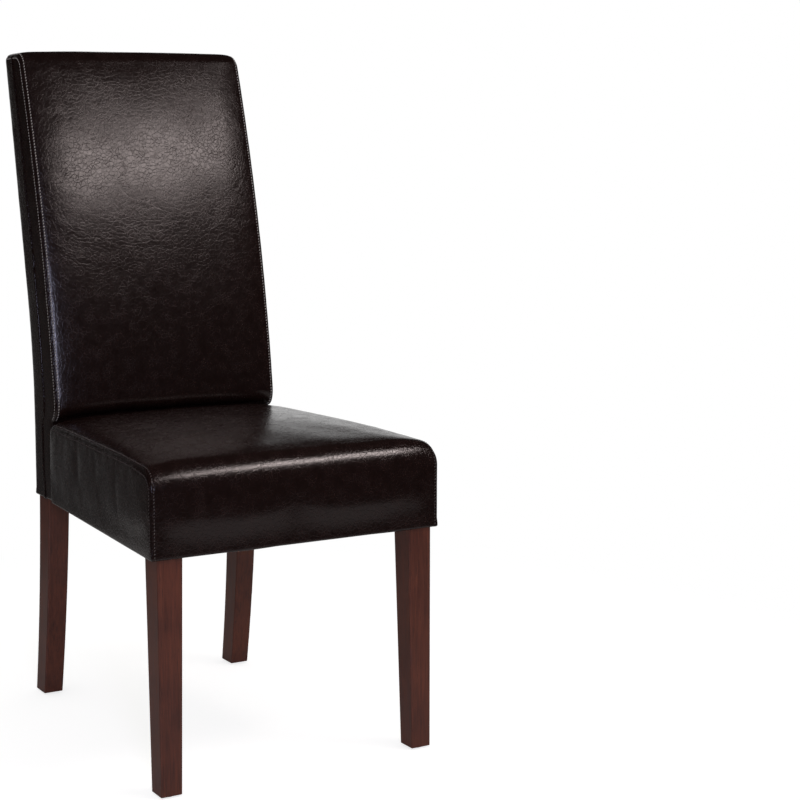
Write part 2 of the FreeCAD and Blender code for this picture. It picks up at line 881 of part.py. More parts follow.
def foot_parts():
    # a plastic disc under each foot, held by a nail
    parts = []
    for x, y in foot_centres():
        for side in (-1, 1):
            nail = cylinder(nail_diameter, V(side * x, y, glide_height / 2), V(0, 0, 1), nail_length)
            room = cylinder(nail_diameter + hole_clearance, V(side * x, y, glide_height / 2), V(0, 0, 1),
                            nail_length + hole_clearance)
            disc = cylinder(glide_diameter, V(side * x, y, 0), V(0, 0, 1), glide_height)
            parts.append((disc.cut(room), nail, room))
    return parts


# Putting it together

def cut_all(shape, rooms):
    for room in rooms:
        shape = shape.cut(room)
    return shape


def build():
    nodes = {}
    leg_bolts = leg_bolt_parts()
    block_screws = block_screw_parts()
    seat_bolts = seat_bolt_parts()
    tee_nuts = tee_nut_parts()
    seat_dowels = seat_dowel_parts()
    back_dowels = back_dowel_parts()
    rail_screws = rail_screw_parts()
    feet = foot_parts()
    staples = make_staples()

    leg_bolt_rooms = [room for _, _, room in leg_bolts]
    block_screw_rooms = [room for _, room in block_screws]
    seat_bolt_rooms = [room for _, _, room in seat_bolts]
    tee_nut_rooms = [room for _, room in tee_nuts]
    seat_dowel_rooms = [room for _, room in seat_dowels]
    back_dowel_rooms = [room for _, room in back_dowels]
    rail_screw_rooms = [room for _, room in rail_screws]
    nail_rooms = [room for _, _, room in feet]

    def both_sides(rooms):
        return rooms + [mirrored(room) for room in rooms]

    front_leg = cut_all(make_front_leg(), leg_bolt_rooms + nail_rooms)
    nodes["front_leg_left"] = mirrored(front_leg)
    nodes["front_leg_right"] = front_leg
    rear_leg = cut_all(make_rear_leg(), back_dowel_rooms + rail_screw_rooms + nail_rooms)
    nodes["rear_leg_left"] = mirrored(rear_leg)
    nodes["rear_leg_right"] = rear_leg

    nodes["seat_front_rail"] = cut_all(make_front_rail(), both_sides(block_screw_rooms) + staples)
    side_rail = cut_all(make_side_rail(), block_screw_rooms + seat_dowel_rooms + staples)
    nodes["seat_side_rail_left"] = mirrored(side_rail)
    nodes["seat_side_rail_right"] = side_rail
    nodes["seat_rear_rail"] = cut_all(
        make_rear_rail(), both_sides(block_screw_rooms + seat_dowel_rooms + seat_bolt_rooms))
    front_block = cut_all(make_front_block(), leg_bolt_rooms + block_screw_rooms)
    nodes["front_corner_block_left"] = mirrored(front_block)
    nodes["front_corner_block_right"] = front_block
    rear_block = cut_all(make_rear_block(), block_screw_rooms)
    nodes["rear_corner_block_left"] = mirrored(rear_block)
    nodes["rear_corner_block_right"] = rear_block
    nodes["seat_frame_dowels"] = group(with_mirror([solid for solid, _ in seat_dowels]))
    nodes["corner_block_screws"] = group(with_mirror([solid for solid, _ in block_screws]))
    nodes["leg_bolts"] = group(with_mirror([solid for solid, _, _ in leg_bolts]))
    nodes["leg_bolt_washers"] = group(with_mirror([ring for _, ring, _ in leg_bolts]))

    for name, (low, high) in back_rails().items():
        nodes[name] = cut_all(make_back_rail(low, high), both_sides(back_dowel_rooms))
    nodes["back_bolt_rail"] = cut_all(
        make_bolt_rail(), both_sides(seat_bolt_rooms + tee_nut_rooms + rail_screw_rooms))
    nodes["back_rail_dowels"] = group(with_mirror([solid for solid, _ in back_dowels]))
    nodes["bolt_rail_screws"] = group(with_mirror([solid for solid, _ in rail_screws]))
    nodes["seat_bolts"] = group(with_mirror([solid for solid, _, _ in seat_bolts]))
    nodes["seat_bolt_washers"] = group(with_mirror([ring for _, ring, _ in seat_bolts]))
    nodes["tee_nuts"] = group(with_mirror([solid for solid, _ in tee_nuts]))

    nodes["seat_webbing_lengthwise"] = group(make_long_straps())
    nodes["seat_webbing_crosswise"] = group(make_cross_straps())
    nodes["back_webbing"] = group(make_back_straps())
    nodes["seat_foam"] = make_seat_foam()
    front, left, right = make_seat_paddings()
    nodes["seat_front_padding"] = front
    nodes["seat_side_padding_left"] = left
    nodes["seat_side_padding_right"] = right
    nodes["back_foam"] = make_back_foam()
    rear, left, right = make_back_paddings()
    nodes["back_rear_padding"] = rear
    nodes["back_side_padding_left"] = left
    nodes["back_side_padding_right"] = right

    top, left, right = make_seat_covers()
    nodes["seat_cover_top"] = cut_all(top, staples)
    nodes["seat_cover_side_left"] = cut_all(left, staples)
    nodes["seat_cover_side_right"] = cut_all(right, staples)
    front, rear, left, right = make_back_covers()
    nodes["back_cover_front"] = cut_all(front, both_sides(seat_bolt_rooms))
    nodes["back_cover_rear"] = rear
    nodes["back_cover_side_left"] = left
    nodes["back_cover_side_right"] = right
    nodes["dust_cover"] = cut_all(make_dust_cover(), staples)
    nodes["back_dust_cover"] = make_back_dust_cover()
    nodes["dust_cover_staples"] = group(staples)
    nodes["floor_glides"] = group([disc for disc, _, _ in feet])
    nodes["glide_nails"] = group([nail for _, nail, _ in feet])
    return nodes


def main():
    os.makedirs("parts", exist_ok=True)
    nodes = build()
    boxes = [shape.optimalBoundingBox() for shape in nodes.values()]
    rearmost = max(room.YMax for room in boxes)
    frontmost = min(room.YMin for room in boxes)
    middle = (rearmost + frontmost) / 2
    print("depth", round(rearmost - frontmost, 2), "origin behind the seat's front by", round(middle, 2))
    for name, shape in nodes.items():
        shape.translate(V(0, -middle, 0))
        print(name, "solids", len(shape.Solids), "valid", shape.isValid(),
              "volume", round(shape.Volume / 1000, 1))
        shape.exportStep("parts/" + name + ".step")


main()
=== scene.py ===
import bmesh
import bpy
import json
import math
import numpy as np
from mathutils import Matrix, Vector

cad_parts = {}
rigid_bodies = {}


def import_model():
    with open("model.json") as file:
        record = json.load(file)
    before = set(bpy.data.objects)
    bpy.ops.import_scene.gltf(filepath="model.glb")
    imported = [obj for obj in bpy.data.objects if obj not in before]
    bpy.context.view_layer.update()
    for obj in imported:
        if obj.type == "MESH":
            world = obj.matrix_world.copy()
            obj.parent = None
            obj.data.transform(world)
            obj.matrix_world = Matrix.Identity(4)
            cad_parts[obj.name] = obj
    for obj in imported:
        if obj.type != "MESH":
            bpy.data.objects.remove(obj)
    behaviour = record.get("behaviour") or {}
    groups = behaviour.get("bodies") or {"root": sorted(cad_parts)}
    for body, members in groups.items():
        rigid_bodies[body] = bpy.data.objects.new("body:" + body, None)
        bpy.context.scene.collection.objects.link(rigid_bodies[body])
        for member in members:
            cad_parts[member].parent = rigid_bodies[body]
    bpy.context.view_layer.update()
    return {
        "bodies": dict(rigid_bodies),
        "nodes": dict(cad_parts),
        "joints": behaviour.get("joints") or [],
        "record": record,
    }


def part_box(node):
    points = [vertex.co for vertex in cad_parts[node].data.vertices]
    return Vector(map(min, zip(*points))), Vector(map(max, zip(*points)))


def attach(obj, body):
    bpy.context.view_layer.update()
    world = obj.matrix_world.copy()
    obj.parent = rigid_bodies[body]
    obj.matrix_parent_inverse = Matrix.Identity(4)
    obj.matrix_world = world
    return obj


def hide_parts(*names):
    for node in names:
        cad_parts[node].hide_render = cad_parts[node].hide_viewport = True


# A padded dining chair: leather panels sewn over foam, four stained legs.
# All lengths are in metres. While panels are worked out, y = 0 is the front of the seat's leather.

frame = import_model()
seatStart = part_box("seat_cover_top")[0].y  # where the frame has the front of the seat's leather
print("frame loaded,", len(frame["nodes"]), "nodes")


# a smooth step: 0 below zero, 1 above one, level at both ends
def ease(t):
    t = np.clip(t, 0.0, 1.0)
    return t * t * (3 - 2 * t)


# 1 on the spot, dying away within about two widths
def bell(distance, width):
    return np.exp(-(distance / width) ** 2)


# rises from 0 at a seam to 1 within a few reaches of it
def swell(distance, reach):
    return 1 - np.exp(-distance / reach)


# several runs of evenly spaced values, end to end, with no value twice
def runs(*parts):
    pieces = [np.linspace(start, end, count, endpoint=False) for start, end, count in parts]
    return np.concatenate(pieces + [[parts[-1][1]]])


# shares from -1 to 1 across a panel: close together by the seams, wider apart in the middle
def sharesAcross(half, fine, coarse):
    gaps = [0.0, 0.0006, 0.0012, 0.0019, 0.0027, 0.0035, 0.0043, 0.0053, 0.0066, 0.0083, 0.0105]
    inner = runs((0.0135, 0.045, fine), (0.045, half, coarse))
    side = 1 - np.concatenate([gaps, inner]) / half
    return np.concatenate([-side[:-1], side[::-1]])


# gentle unevenness of a hand-filled pad: a few waves of random heading, added up
def unevenness(points, wavelength, seed, count=9):
    source = np.random.default_rng(seed)
    headings = source.normal(size=(count, 3))
    headings /= np.linalg.norm(headings, axis=1)[:, None]
    lengths = wavelength * source.uniform(0.7, 1.5, count)
    phases = source.uniform(0, 2 * math.pi, count)
    waves = np.sin(points @ (headings * (2 * math.pi / lengths)[:, None]).T + phases)
    return waves.sum(axis=-1) / math.sqrt(count)


# outward normal at every point of a grid: the cross product of its two directions
def gridNormals(points, outward):
    normals = np.cross(np.gradient(points, axis=1), np.gradient(points, axis=0))
    normals /= np.maximum(np.linalg.norm(normals, axis=-1), 1e-12)[..., None]
    return normals * np.sign((normals * outward).sum())


# distance travelled along one direction of a grid
def travelled(points, axis):
    steps = np.linalg.norm(np.diff(points, axis=axis), axis=-1)
    return np.insert(np.cumsum(steps, axis=axis), 0, 0.0, axis=axis)


# turns a grid of points into a quad mesh, with its lengths along and across as its map
def makePanel(name, points, outward, keep=None):
    rows, columns = points.shape[:2]
    index = np.arange(rows * columns).reshape(rows, columns)
    quads = np.stack([index[:-1, :-1], index[1:, :-1], index[1:, 1:], index[:-1, 1:]], axis=-1)
    normals = np.cross(np.diff(points, axis=0)[:, :-1], np.diff(points, axis=1)[:-1])
    if (normals * outward).sum() < 0:
        quads = quads[..., ::-1]
    kept = np.ones(quads.shape[:2], bool) if keep is None else keep
    quads = quads[kept]
    across = travelled(points, 1)
    across -= across[:, columns // 2][:, None]
    along = np.broadcast_to(travelled(points, 0)[:, columns // 2][:, None], across.shape)
    flat = np.stack([across, along], axis=-1).reshape(-1, 2)
    mesh = bpy.data.meshes.new(name)
    mesh.from_pydata(points.reshape(-1, 3).tolist(), [], quads.tolist())
    layer = mesh.uv_layers.new(name="flat")
    layer.data.foreach_set("uv", flat[quads.reshape(-1)].astype(np.float32).ravel())
    mesh.shade_smooth()
    panel = bpy.data.objects.new(name, mesh)
    bpy.context.scene.collection.objects.link(panel)
    return panel


seatForm = {
    "frontHalf": 0.2225,      # half the width at the front, and at the back
    "rearHalf": 0.191,
    "depth": 0.460,
    "hem": 0.3285,            # height of the underside
    "seamHeight": 0.4495,     # the side seam, a third of the way back
    "seamRise": -0.001,       # added to it at the back
    "cornerDip": 0.006,       # how much lower at the front corner
    "dipReach": 0.050,
    "cornerPower": 60,        # how close to the seam the corner turns down
    "peakHeight": 0.472,
    "peakPlace": 0.253,
    "frontFall": 0.013,
    "rearFall": 0.009,
    "edgePuff": 0.013,        # the full edge just inside the seam
    "edgePower": 16,
    "frontRadius": 0.032,
    "cornerRadius": 0.024,
    "rearRadius": 0.018,
    "planRadius": 0.010,
    "frontPuff": 0.004,
    "sidePuff": 0.0025,
    "hemRadius": 0.003,
    "fold": 0.018,
    "flap": 0.030,
}

seamForm = {
    "depth": 0.0011,          # how deep the seam's valley is
    "width": 0.0013,
    "leather": 0.0015,        # the leather's thickness
    "soft": (0.0003, 0.12),   # hollows of a full panel: depth and wavelength
    "pucker": (0.00012, 0.02),    # and the puckers by its seams
    "stitchOffset": 0.0042,   # from the seam to the row of stitches beside it
    "stitchDepth": 0.00035,
    "stitchWidth": 0.0008,
    "pitch": 0.0046,          # wider than first guessed, so that the stitches show
    "length": 0.0031,
    "slant": math.radians(24),    # of a stitch to its seam
    "thread": 0.00070,        # the thread's radius, also more than first guessed
}


# half the seat's width: a straight taper, with the back corners rounded
def seatOutline(y):
    form = seatForm
    half = form["frontHalf"] + (form["rearHalf"] - form["frontHalf"]) * y / form["depth"]
    radius = form["planRadius"]
    past = np.clip(y - (form["depth"] - radius), 0, radius)
    return half - (radius - np.sqrt(radius ** 2 - past ** 2))


# height of the seat's top: the seam's height, a broad crown of the second power of the share
# across, and a full edge of a high power
def seatTopHeight(share, y):
    form = seatForm
    y = np.clip(y, 0.0, form["depth"])
    seam = (form["seamHeight"] + form["seamRise"] * ease((y - 0.13) / 0.3)
            - form["cornerDip"] * bell(y, form["dipReach"]) * np.abs(share) ** form["cornerPower"])
    ahead = np.clip((form["peakPlace"] - y) / (form["peakPlace"] - form["frontRadius"]), 0, None)
    behind = np.clip((y - form["peakPlace"]) / (form["depth"] - form["rearRadius"] - form["peakPlace"]),
                     0, None)
    middle = form["peakHeight"] - form["frontFall"] * ahead ** 2 - form["rearFall"] * behind ** 2
    crown = middle - seam
    edge = np.minimum(form["edgePuff"], 0.7 * crown)
    return (seam + (crown - edge) * (1 - share ** 2)
            + edge * (1 - np.abs(share) ** form["edgePower"]))


# the parts of a profile one after another, and the row that each ends at
def joined(parts, columns):
    points = np.stack([np.concatenate([np.broadcast_to(part[axis], (len(part[1]), columns))
                                       for part in parts]) for axis in range(3)], axis=-1)
    return points, np.cumsum([len(part[1]) for part in parts])


# one fore-and-aft line of the top panel for every share across, from the fold under the
# front, up the front, round the front edge, over the crown and down behind
def seatProfile(share):
    form = seatForm
    share = share[None, :]
    radius = form["frontRadius"] + (form["cornerRadius"] - form["frontRadius"]) * np.abs(share) ** form["cornerPower"]
    forward = -form["frontPuff"] * (1 - np.abs(share) ** 8)
    half = form["frontHalf"]
    zeros = np.zeros_like(share)

    inset = runs((form["fold"], form["hemRadius"], 4))[:-1, None]
    under = (share * (half - inset), inset + zeros, form["hem"] + zeros + 0 * inset)

    turn = runs((0.0, math.pi / 2, 6))[:-1, None]
    inset = form["hemRadius"] * (1 - np.sin(turn))
    height = form["hem"] + form["hemRadius"] * (1 - np.cos(turn))
    hem = (share * (half - inset), inset + zeros, height + zeros)

    base = form["hem"] + form["hemRadius"]
    shoulder = seatTopHeight(share, forward) - radius
    climb = runs((0.0, 1.0, 34))[:-1, None]
    front = (share * half + 0 * climb, forward * ease(climb / 0.6), base + (shoulder - base) * climb)

    turn = runs((0.0, math.pi / 2, 30))[:-1, None]
    y = forward + radius * (1 - np.cos(turn))
    roll = (share * seatOutline(np.clip(y, 0, None)), y,
            seatTopHeight(share, y) - radius * (1 - np.sin(turn)))

    travel = runs((0.0, 1.0, 120))[:-1, None]
    start = forward + radius
    y = start + (form["depth"] - form["rearRadius"] - start) * travel
    top = (share * seatOutline(y), y, seatTopHeight(share, y))

    turn = runs((math.pi / 2, 0.0, 14))[:, None]
    y = form["depth"] - form["rearRadius"] * (1 - np.cos(turn)) + zeros
    behind = (share * seatOutline(y), y,
              seatTopHeight(share, y) - form["rearRadius"] * (1 - np.sin(turn)))

    drop = runs((0.0, form["flap"], 6))[1:, None]
    flap = (behind[0][-1:] + 0 * drop, behind[1][-1:] + 0 * drop, behind[2][-1:] - drop)

    return joined([under, hem, front, roll, top, behind, flap], share.shape[1])


# unit direction, seen from the side, away from the pad: square to a line that runs from the
# hem up the front and over the top
def outwards(border):
    step = np.gradient(border, axis=0)
    out = np.stack([np.zeros(len(border)), -step[:, 2], step[:, 1]], axis=-1)
    return out / np.maximum(np.linalg.norm(out, axis=1), 1e-12)[:, None]


# how far a panel sinks beside a row of stitches
def stitchDip(distance):
    return seamForm["stitchDepth"] * bell(distance - seamForm["stitchOffset"], seamForm["stitchWidth"])


# how far a seam sinks: a bell of the distance to it, fading out at the hem, which is folded under
def seamDip(distance, height):
    return seamForm["depth"] * bell(distance, seamForm["width"]) * ease((height - seatForm["hem"] - 0.004) / 0.012)


# how a full panel differs from its plain form: soft hollows, and small puckers by its seams
def handMade(points, distance, seed):
    (softDepth, softWave), (puckerDepth, puckerWave) = seamForm["soft"], seamForm["pucker"]
    soft = unevenness(points, softWave, seed) * softDepth * swell(distance, 0.02)
    pucker = (unevenness(points, puckerWave, seed + 1) * puckerDepth * swell(distance, 0.003)
              * bell(distance, 0.02))
    return soft + pucker


# a panel that faces front, with seams at both sides: every point sinks by the bell of its
# distance to the seam, halfway between the two faces that meet there
def sewFront(points, distance, seed, outward, stitched=True):
    out = outwards(points[:, -1])
    half = points.shape[1] // 2
    normals = gridNormals(points, outward)
    side = np.where(np.arange(points.shape[1]) > half, 1.0, -1.0)
    heading = (out[:, None, :] + side[None, :, None] * np.array([1.0, 0.0, 0.0])) / math.sqrt(2)
    sink = heading * seamDip(distance, points[..., 2])[..., None]
    lift = handMade(points, distance, seed) - (stitchDip(distance) if stitched else 0.0)
    return points - sink + normals * lift[..., None], normals


# a panel at the side: its outline in the side view is the border, its height over the flat
# side rises from the border, and it sinks there as its neighbour does; the distance to the
# border is the least one to its straight stretches
def sewSide(points, border, puff, fade, seed, stitchedPart=lambda place: 1.0):
    step = np.diff(border[:, 1:], axis=0)
    gap = points[:, :, None, 1:] - border[:-1, 1:]
    share = np.clip((gap * step).sum(axis=-1) / np.maximum((step ** 2).sum(axis=-1), 1e-12), 0, 1)
    away = np.linalg.norm(gap - share[..., None] * step, axis=-1)
    stretch = away.argmin(axis=-1)
    distance = away.min(axis=-1)
    nearest = stretch + np.rint(np.take_along_axis(share, stretch[..., None], -1)[..., 0]).astype(int)
    heading = (outwards(border)[nearest] + np.array([1.0, 0.0, 0.0])) / math.sqrt(2)
    sink = heading * seamDip(distance, points[..., 2])[..., None]
    stitched = stitchedPart(nearest)
    lift = puff * swell(distance, 0.007) * fade + handMade(points, distance, seed) * fade
    points = points - sink
    points[..., 0] += lift - stitchDip(distance) * stitched
    return points


# the two rows of stitches of a panel that faces front: its columns nearest to their offset
def stitchRows(points, normals, rows, distance):
    columns = distance.shape[1]
    column = int(np.argmin(np.abs(distance[0, :columns // 2] - seamForm["stitchOffset"])))
    return [(points[rows, place], normals[rows, place]) for place in (column, columns - 1 - column)]


def makeSeatTop():
    shares = sharesAcross(0.207, 9, 34)
    points, lengths = seatProfile(shares)
    distance = np.broadcast_to((1 - np.abs(shares)) * 0.207, points.shape[:2])
    border = points[lengths[1]:lengths[5], -1].copy()
    points, normals = sewFront(points, distance, 3, np.array([0.0, -0.6, 1.0]))
    rows = slice(lengths[1], lengths[5])
    paths = stitchRows(points, normals, rows, distance)
    panel = makePanel("seatTop", placed(points), np.array([0.0, -0.6, 1.0]),
                      clearOfLegs(points, "front_leg_left", "front_leg_right"))
    return panel, border, paths


# drops the faces of a turned-under hem where a leg comes through it
def clearOfLegs(points, *legs):
    centres = (points[:-1, :-1] + points[1:, :-1] + points[1:, 1:] + points[:-1, 1:]) / 4
    kept = np.ones(centres.shape[:2], bool)
    for leg in legs:
        left, right, near, far = legRoom(leg)
        inside = ((centres[..., 0] > left) & (centres[..., 0] < right) & (centres[..., 1] > near)
                  & (centres[..., 1] < far) & (centres[..., 2] < seatForm["hem"] + 0.004))
        kept &= ~inside
    return kept


def coordinates(mesh):
    flat = np.empty(len(mesh.vertices) * 3, np.float32)
    mesh.vertices.foreach_get("co", flat)
    return flat.reshape(-1, 3).astype(float)


# the room that a leg takes where it meets the hem: a front leg's from the box round its vertices, a rear leg's from
# the back's post sizes
def legRoom(leg):
    places = coordinates(frame["nodes"][leg].data)
    margin = 0.0008
    low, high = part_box(leg)
    if "front" in leg:
        return low.x - margin, high.x + margin, low.y - margin - seatStart, high.y + margin - seatStart
    near = rearLine(np.array(seatForm["hem"])) - backForm["postCover"] - backForm["postDepth"]
    inner, outer = backForm["postInner"], backForm["postOuter"]
    left, right = (-outer, -inner) if "left" in leg else (inner, outer)
    return left - margin, right + margin, near - margin, near + backForm["postDepth"] + margin


# moves points from the chair's own start to the frame
def placed(points):
    return points + np.array([0.0, seatStart, 0.0])


# the part of a border where the side panel's own columns start: from the last point over the
# upright front corner on
def overCorner(border):
    return border[int(np.argmax(border[:, 1] > 1e-9)) - 1:]


# how far a seat side stands out: all of it at the border's height, two fifths of it at the hem,
# by the sixth power of the share of the way down
def seatSideFade(points, border):
    top = overCorner(border)
    base = seatForm["hem"] + seatForm["hemRadius"]
    height = np.interp(points[..., 1], top[:, 1], top[:, 2])
    return 1 - 0.6 * np.clip((height - points[..., 2]) / (height - base), 0, 1) ** 6


# side panel of the seat: straight down from the top panel's edge, rounded under at the hem
def makeSeatSide(name, side, border, seed):
    form = seatForm
    top = overCorner(border)
    plan = np.gradient(top[:, :2], axis=0)
    turnOut = np.stack([plan[:, 1], -plan[:, 0]], axis=-1)
    turnOut /= np.maximum(np.linalg.norm(turnOut, axis=1), 1e-12)[:, None]
    base = form["hem"] + form["hemRadius"]
    down = runs((0.0, 0.12, 12), (0.12, 1.0, 34))[:, None]
    wall = np.stack([top[:, 0] + 0 * down, top[:, 1] + 0 * down,
                     top[:, 2] + (base - top[:, 2]) * down], axis=-1)
    turn = runs((math.pi / 2, 0.0, 6))[1:, None]
    tuck = runs((form["hemRadius"], form["fold"], 4))[1:, None]
    inset = np.concatenate([form["hemRadius"] * (1 - np.sin(turn)), tuck])
    height = np.concatenate([form["hem"] + form["hemRadius"] * (1 - np.cos(turn)),
                             form["hem"] + 0 * tuck])
    mitre = inset * np.clip(1 - top[:, 1] / 0.03, 0, 1)
    under = np.stack([top[:, 0] - inset * turnOut[:, 0], top[:, 1] - inset * turnOut[:, 1] + mitre,
                      height + 0 * top[:, 0]], axis=-1)
    points = np.concatenate([wall, under])
    points = sewSide(points, border, form["sidePuff"], seatSideFade(points, border), seed)
    points[..., 0] *= side
    return makePanel(name, placed(points), np.array([side, 0.0, 0.0]),
                     clearOfLegs(points, "front_leg_left", "front_leg_right"))


# a row of stitches on a side panel: the border moved in by the stitches' offset in the side
# view, and raised as the panel is there; halfWidth gives the plain panel's place across
def sidePath(border, side, halfWidth, puff, fade, seed):
    points = border - outwards(border) * seamForm["stitchOffset"]
    points[:, 0] = halfWidth(points)
    points = sewSide(points[:, None], border, puff, fade(points[:, None]), seed)[:, 0]
    points[:, 0] *= side
    return points, np.broadcast_to([side, 0.0, 0.0], points.shape)


backForm = {
    "half": 0.1855,
    "front": 0.4606,          # its flat lower face, behind the seat
    "top": 1.0255,
    "waistHeight": 0.4545,    # upright here; splayed below, bent back above
    "splay": 0.0425,
    "bendRise": 0.190,
    "lean": math.radians(11),
    "waistDepth": 0.0785,
    "faceHeights": (0.528, 0.76275, 0.9975),    # the front face at its seams: three heights
    "faceSetbacks": (0.4476, 0.4904, 0.5570),   # and how far back it lies there
    "lipHeight": 0.490,       # the front rolls in to the seat from here
    "crown": 0.003,
    "edgePuff": 0.005,
    "edgePower": 12,
    "topCrown": 0.001,
    "cornerFall": 0.006,
    "tilt": 0.003,            # the right end stands twice this above the left one
    "frontRadius": 0.016,
    "rearRadius": 0.010,
    "rearPuff": 0.003,
    "sidePuff": 0.0020,
    "postInner": 0.1471,
    "postOuter": 0.1811,
    "postDepth": 0.042,
    "postCover": 0.0035,
}


# the back's rear line: an arc below the waist, an arc above it, then straight
def rearLine(height):
    form = backForm
    height = np.asarray(height, float)
    waist = form["front"] + form["waistDepth"]
    radius = (form["waistHeight"] ** 2 + form["splay"] ** 2) / (2 * form["splay"])
    drop = np.clip(form["waistHeight"] - height, 0, None)
    below = waist + radius - np.sqrt(radius ** 2 - drop ** 2)
    radius = form["bendRise"] / math.sin(form["lean"])
    rise = np.clip(height - form["waistHeight"], 0, form["bendRise"])
    above = waist + radius - np.sqrt(radius ** 2 - rise ** 2)
    straight = np.clip(height - form["waistHeight"] - form["bendRise"], 0, None)
    return np.where(height < form["waistHeight"], below, above + straight * math.tan(form["lean"]))


# the back's front line at its seams: the parabola through three points
def frontLine(height):
    low, middle, high = backForm["faceHeights"]
    first, second, third = backForm["faceSetbacks"]
    slope = (second - first) / (middle - low)
    bend = ((third - second) / (high - middle) - slope) / (high - low)
    return first + slope * (height - low) + bend * (height - low) * (height - middle)


# how far the front stands out between its seams: a broad crown and a full edge
def frontPuff(share):
    form = backForm
    return form["crown"] * (1 - share ** 2) + form["edgePuff"] * (1 - np.abs(share) ** form["edgePower"])


def backTopHeight(share):
    form = backForm
    return (form["top"] + form["tilt"] * (share - 1) - form["topCrown"] * share ** 2
            - form["cornerFall"] * np.abs(share) ** 24)


# height at which the front meets the seat, a hair over the leather there
def creaseHeight(share):
    across = share * backForm["half"] / seatOutline(np.array(seatForm["depth"] - 0.012))
    return seatTopHeight(across, np.array(seatForm["depth"] - 0.012)) + 0.0008


# lines of the front panel: hem, upright behind the seat, lip over the seat, leaning face,
# roll over the top edge, ridge, and roll down to the rear seam
def frontProfile(share):
    form = backForm
    share = share[None, :]
    half = form["half"]
    zeros = np.zeros_like(share)
    hem, radius = seatForm["hem"], seatForm["hemRadius"]

    inset = runs((seatForm["fold"], radius, 4))[:-1, None]
    under = (share * (half - inset), form["front"] + inset + zeros, hem + zeros + 0 * inset)
    turn = runs((0.0, math.pi / 2, 5))[:-1, None]
    inset = radius * (1 - np.sin(turn))
    bottom = (share * (half - inset), form["front"] + inset + zeros, hem + radius * (1 - np.cos(turn)) + zeros)

    crease = creaseHeight(share)
    climb = runs((0.0, 1.0, 14))[:-1, None]
    upright = (share * half + 0 * climb, form["front"] + 0 * climb + zeros,
               hem + radius + (crease - hem - radius) * climb)

    turn = runs((0.0, math.pi / 2, 22))[:-1, None]
    height = form["lipHeight"] - (form["lipHeight"] - crease) * np.cos(turn)
    face = frontLine(height) - frontPuff(share)
    lip = (share * half + 0 * turn, face + (form["front"] - face) * (1 - np.sin(turn)), height)

    summit = backTopHeight(share)
    climb = runs((0.0, 1.0, 120))[:-1, None]
    height = form["lipHeight"] + (summit - form["frontRadius"] - form["lipHeight"]) * climb
    leaning = (share * half + 0 * climb, frontLine(height) - frontPuff(share), height)

    turn = runs((0.0, math.pi / 2, 16))[:-1, None]
    height = summit - form["frontRadius"] * (1 - np.sin(turn))
    roll = (share * half + 0 * turn,
            frontLine(height) - frontPuff(share) + form["frontRadius"] * (1 - np.cos(turn)), height)

    travel = runs((0.0, 1.0, 12))[:-1, None]
    start = frontLine(summit) - frontPuff(share) + form["frontRadius"]
    end = rearLine(summit) - form["rearRadius"]
    ridge = (share * half + 0 * travel, start + (end - start) * travel,
             summit + 0.001 * np.sin(math.pi * travel) ** 2 * (1 - share ** 4))

    turn = runs((math.pi / 2, 0.0, 10))[:, None]
    height = summit - form["rearRadius"] * (1 - np.sin(turn))
    behind = (share * half + 0 * turn,
              rearLine(height) + rearPuff(share) - form["rearRadius"] * (1 - np.cos(turn)), height)

    return joined([under, bottom, upright, lip, leaning, roll, ridge, behind], share.shape[1])


def rearPuff(share):
    return backForm["rearPuff"] * (1 - np.abs(share) ** 10)


# lines of the rear panel, from the seam below the top edge down to the hem
def rearProfile(share):
    form = backForm
    share = share[None, :]
    radius = seatForm["hemRadius"]
    hem = seatForm["hem"]
    start = backTopHeight(share) - form["rearRadius"]
    fall = runs((0.0, 1.0, 130))[:, None]
    height = start + (hem + radius - start) * fall
    puff = rearPuff(share) * (1 - fall ** 8)
    wall = np.stack([share * form["half"] + 0 * fall, rearLine(height) + puff, height], axis=-1)
    turn = runs((math.pi / 2, 0.0, 5))[1:, None]
    tuck = runs((radius, seatForm["fold"], 4))[1:, None]
    inset = np.concatenate([radius * (1 - np.sin(turn)), tuck])
    height = np.concatenate([hem + radius * (1 - np.cos(turn)), hem + 0 * tuck])
    under = np.stack([share * (form["half"] - inset), rearLine(height) - inset + 0 * share,
                      height + 0 * share], axis=-1)
    return np.concatenate([wall, under])


def makeBackFront():
    shares = sharesAcross(backForm["half"], 9, 30)
    points, lengths = frontProfile(shares)
    distance = np.broadcast_to((1 - np.abs(shares)) * backForm["half"], points.shape[:2])
    borders = {side: points[lengths[1]:, column].copy() for side, column in ((-1.0, 0), (1.0, -1))}
    outward = np.array([0.0, -1.0, 0.4])
    points, normals = sewFront(points, distance, 11, outward)
    dip = seamForm["depth"] * bell(travelled(points[::-1], 0)[::-1], seamForm["width"])
    points = points - normals * (dip * swell(distance, 0.004))[..., None]
    rows = slice(lengths[2] + 2, lengths[7] - 5)
    paths = stitchRows(points, normals, rows, distance)
    return makePanel("backFront", placed(points), outward), borders, lengths, paths


def makeBackRear():
    shares = sharesAcross(backForm["half"], 9, 30)
    points = rearProfile(shares)
    distance = np.broadcast_to((1 - np.abs(shares)) * backForm["half"], points.shape[:2])
    borders = {side: points[:, column].copy() for side, column in ((-1.0, 0), (1.0, -1))}
    outward = np.array([0.0, 1.0, 0.0])
    points, normals = sewFront(points, distance, 17, outward, stitched=False)
    dip = seamForm["depth"] * bell(travelled(points, 0), seamForm["width"])
    points = points - normals * (dip * swell(distance, 0.004))[..., None]
    panel = makePanel("backRear", placed(points), outward,
                      clearOfLegs(points, "rear_leg_left", "rear_leg_right"))
    return panel, borders


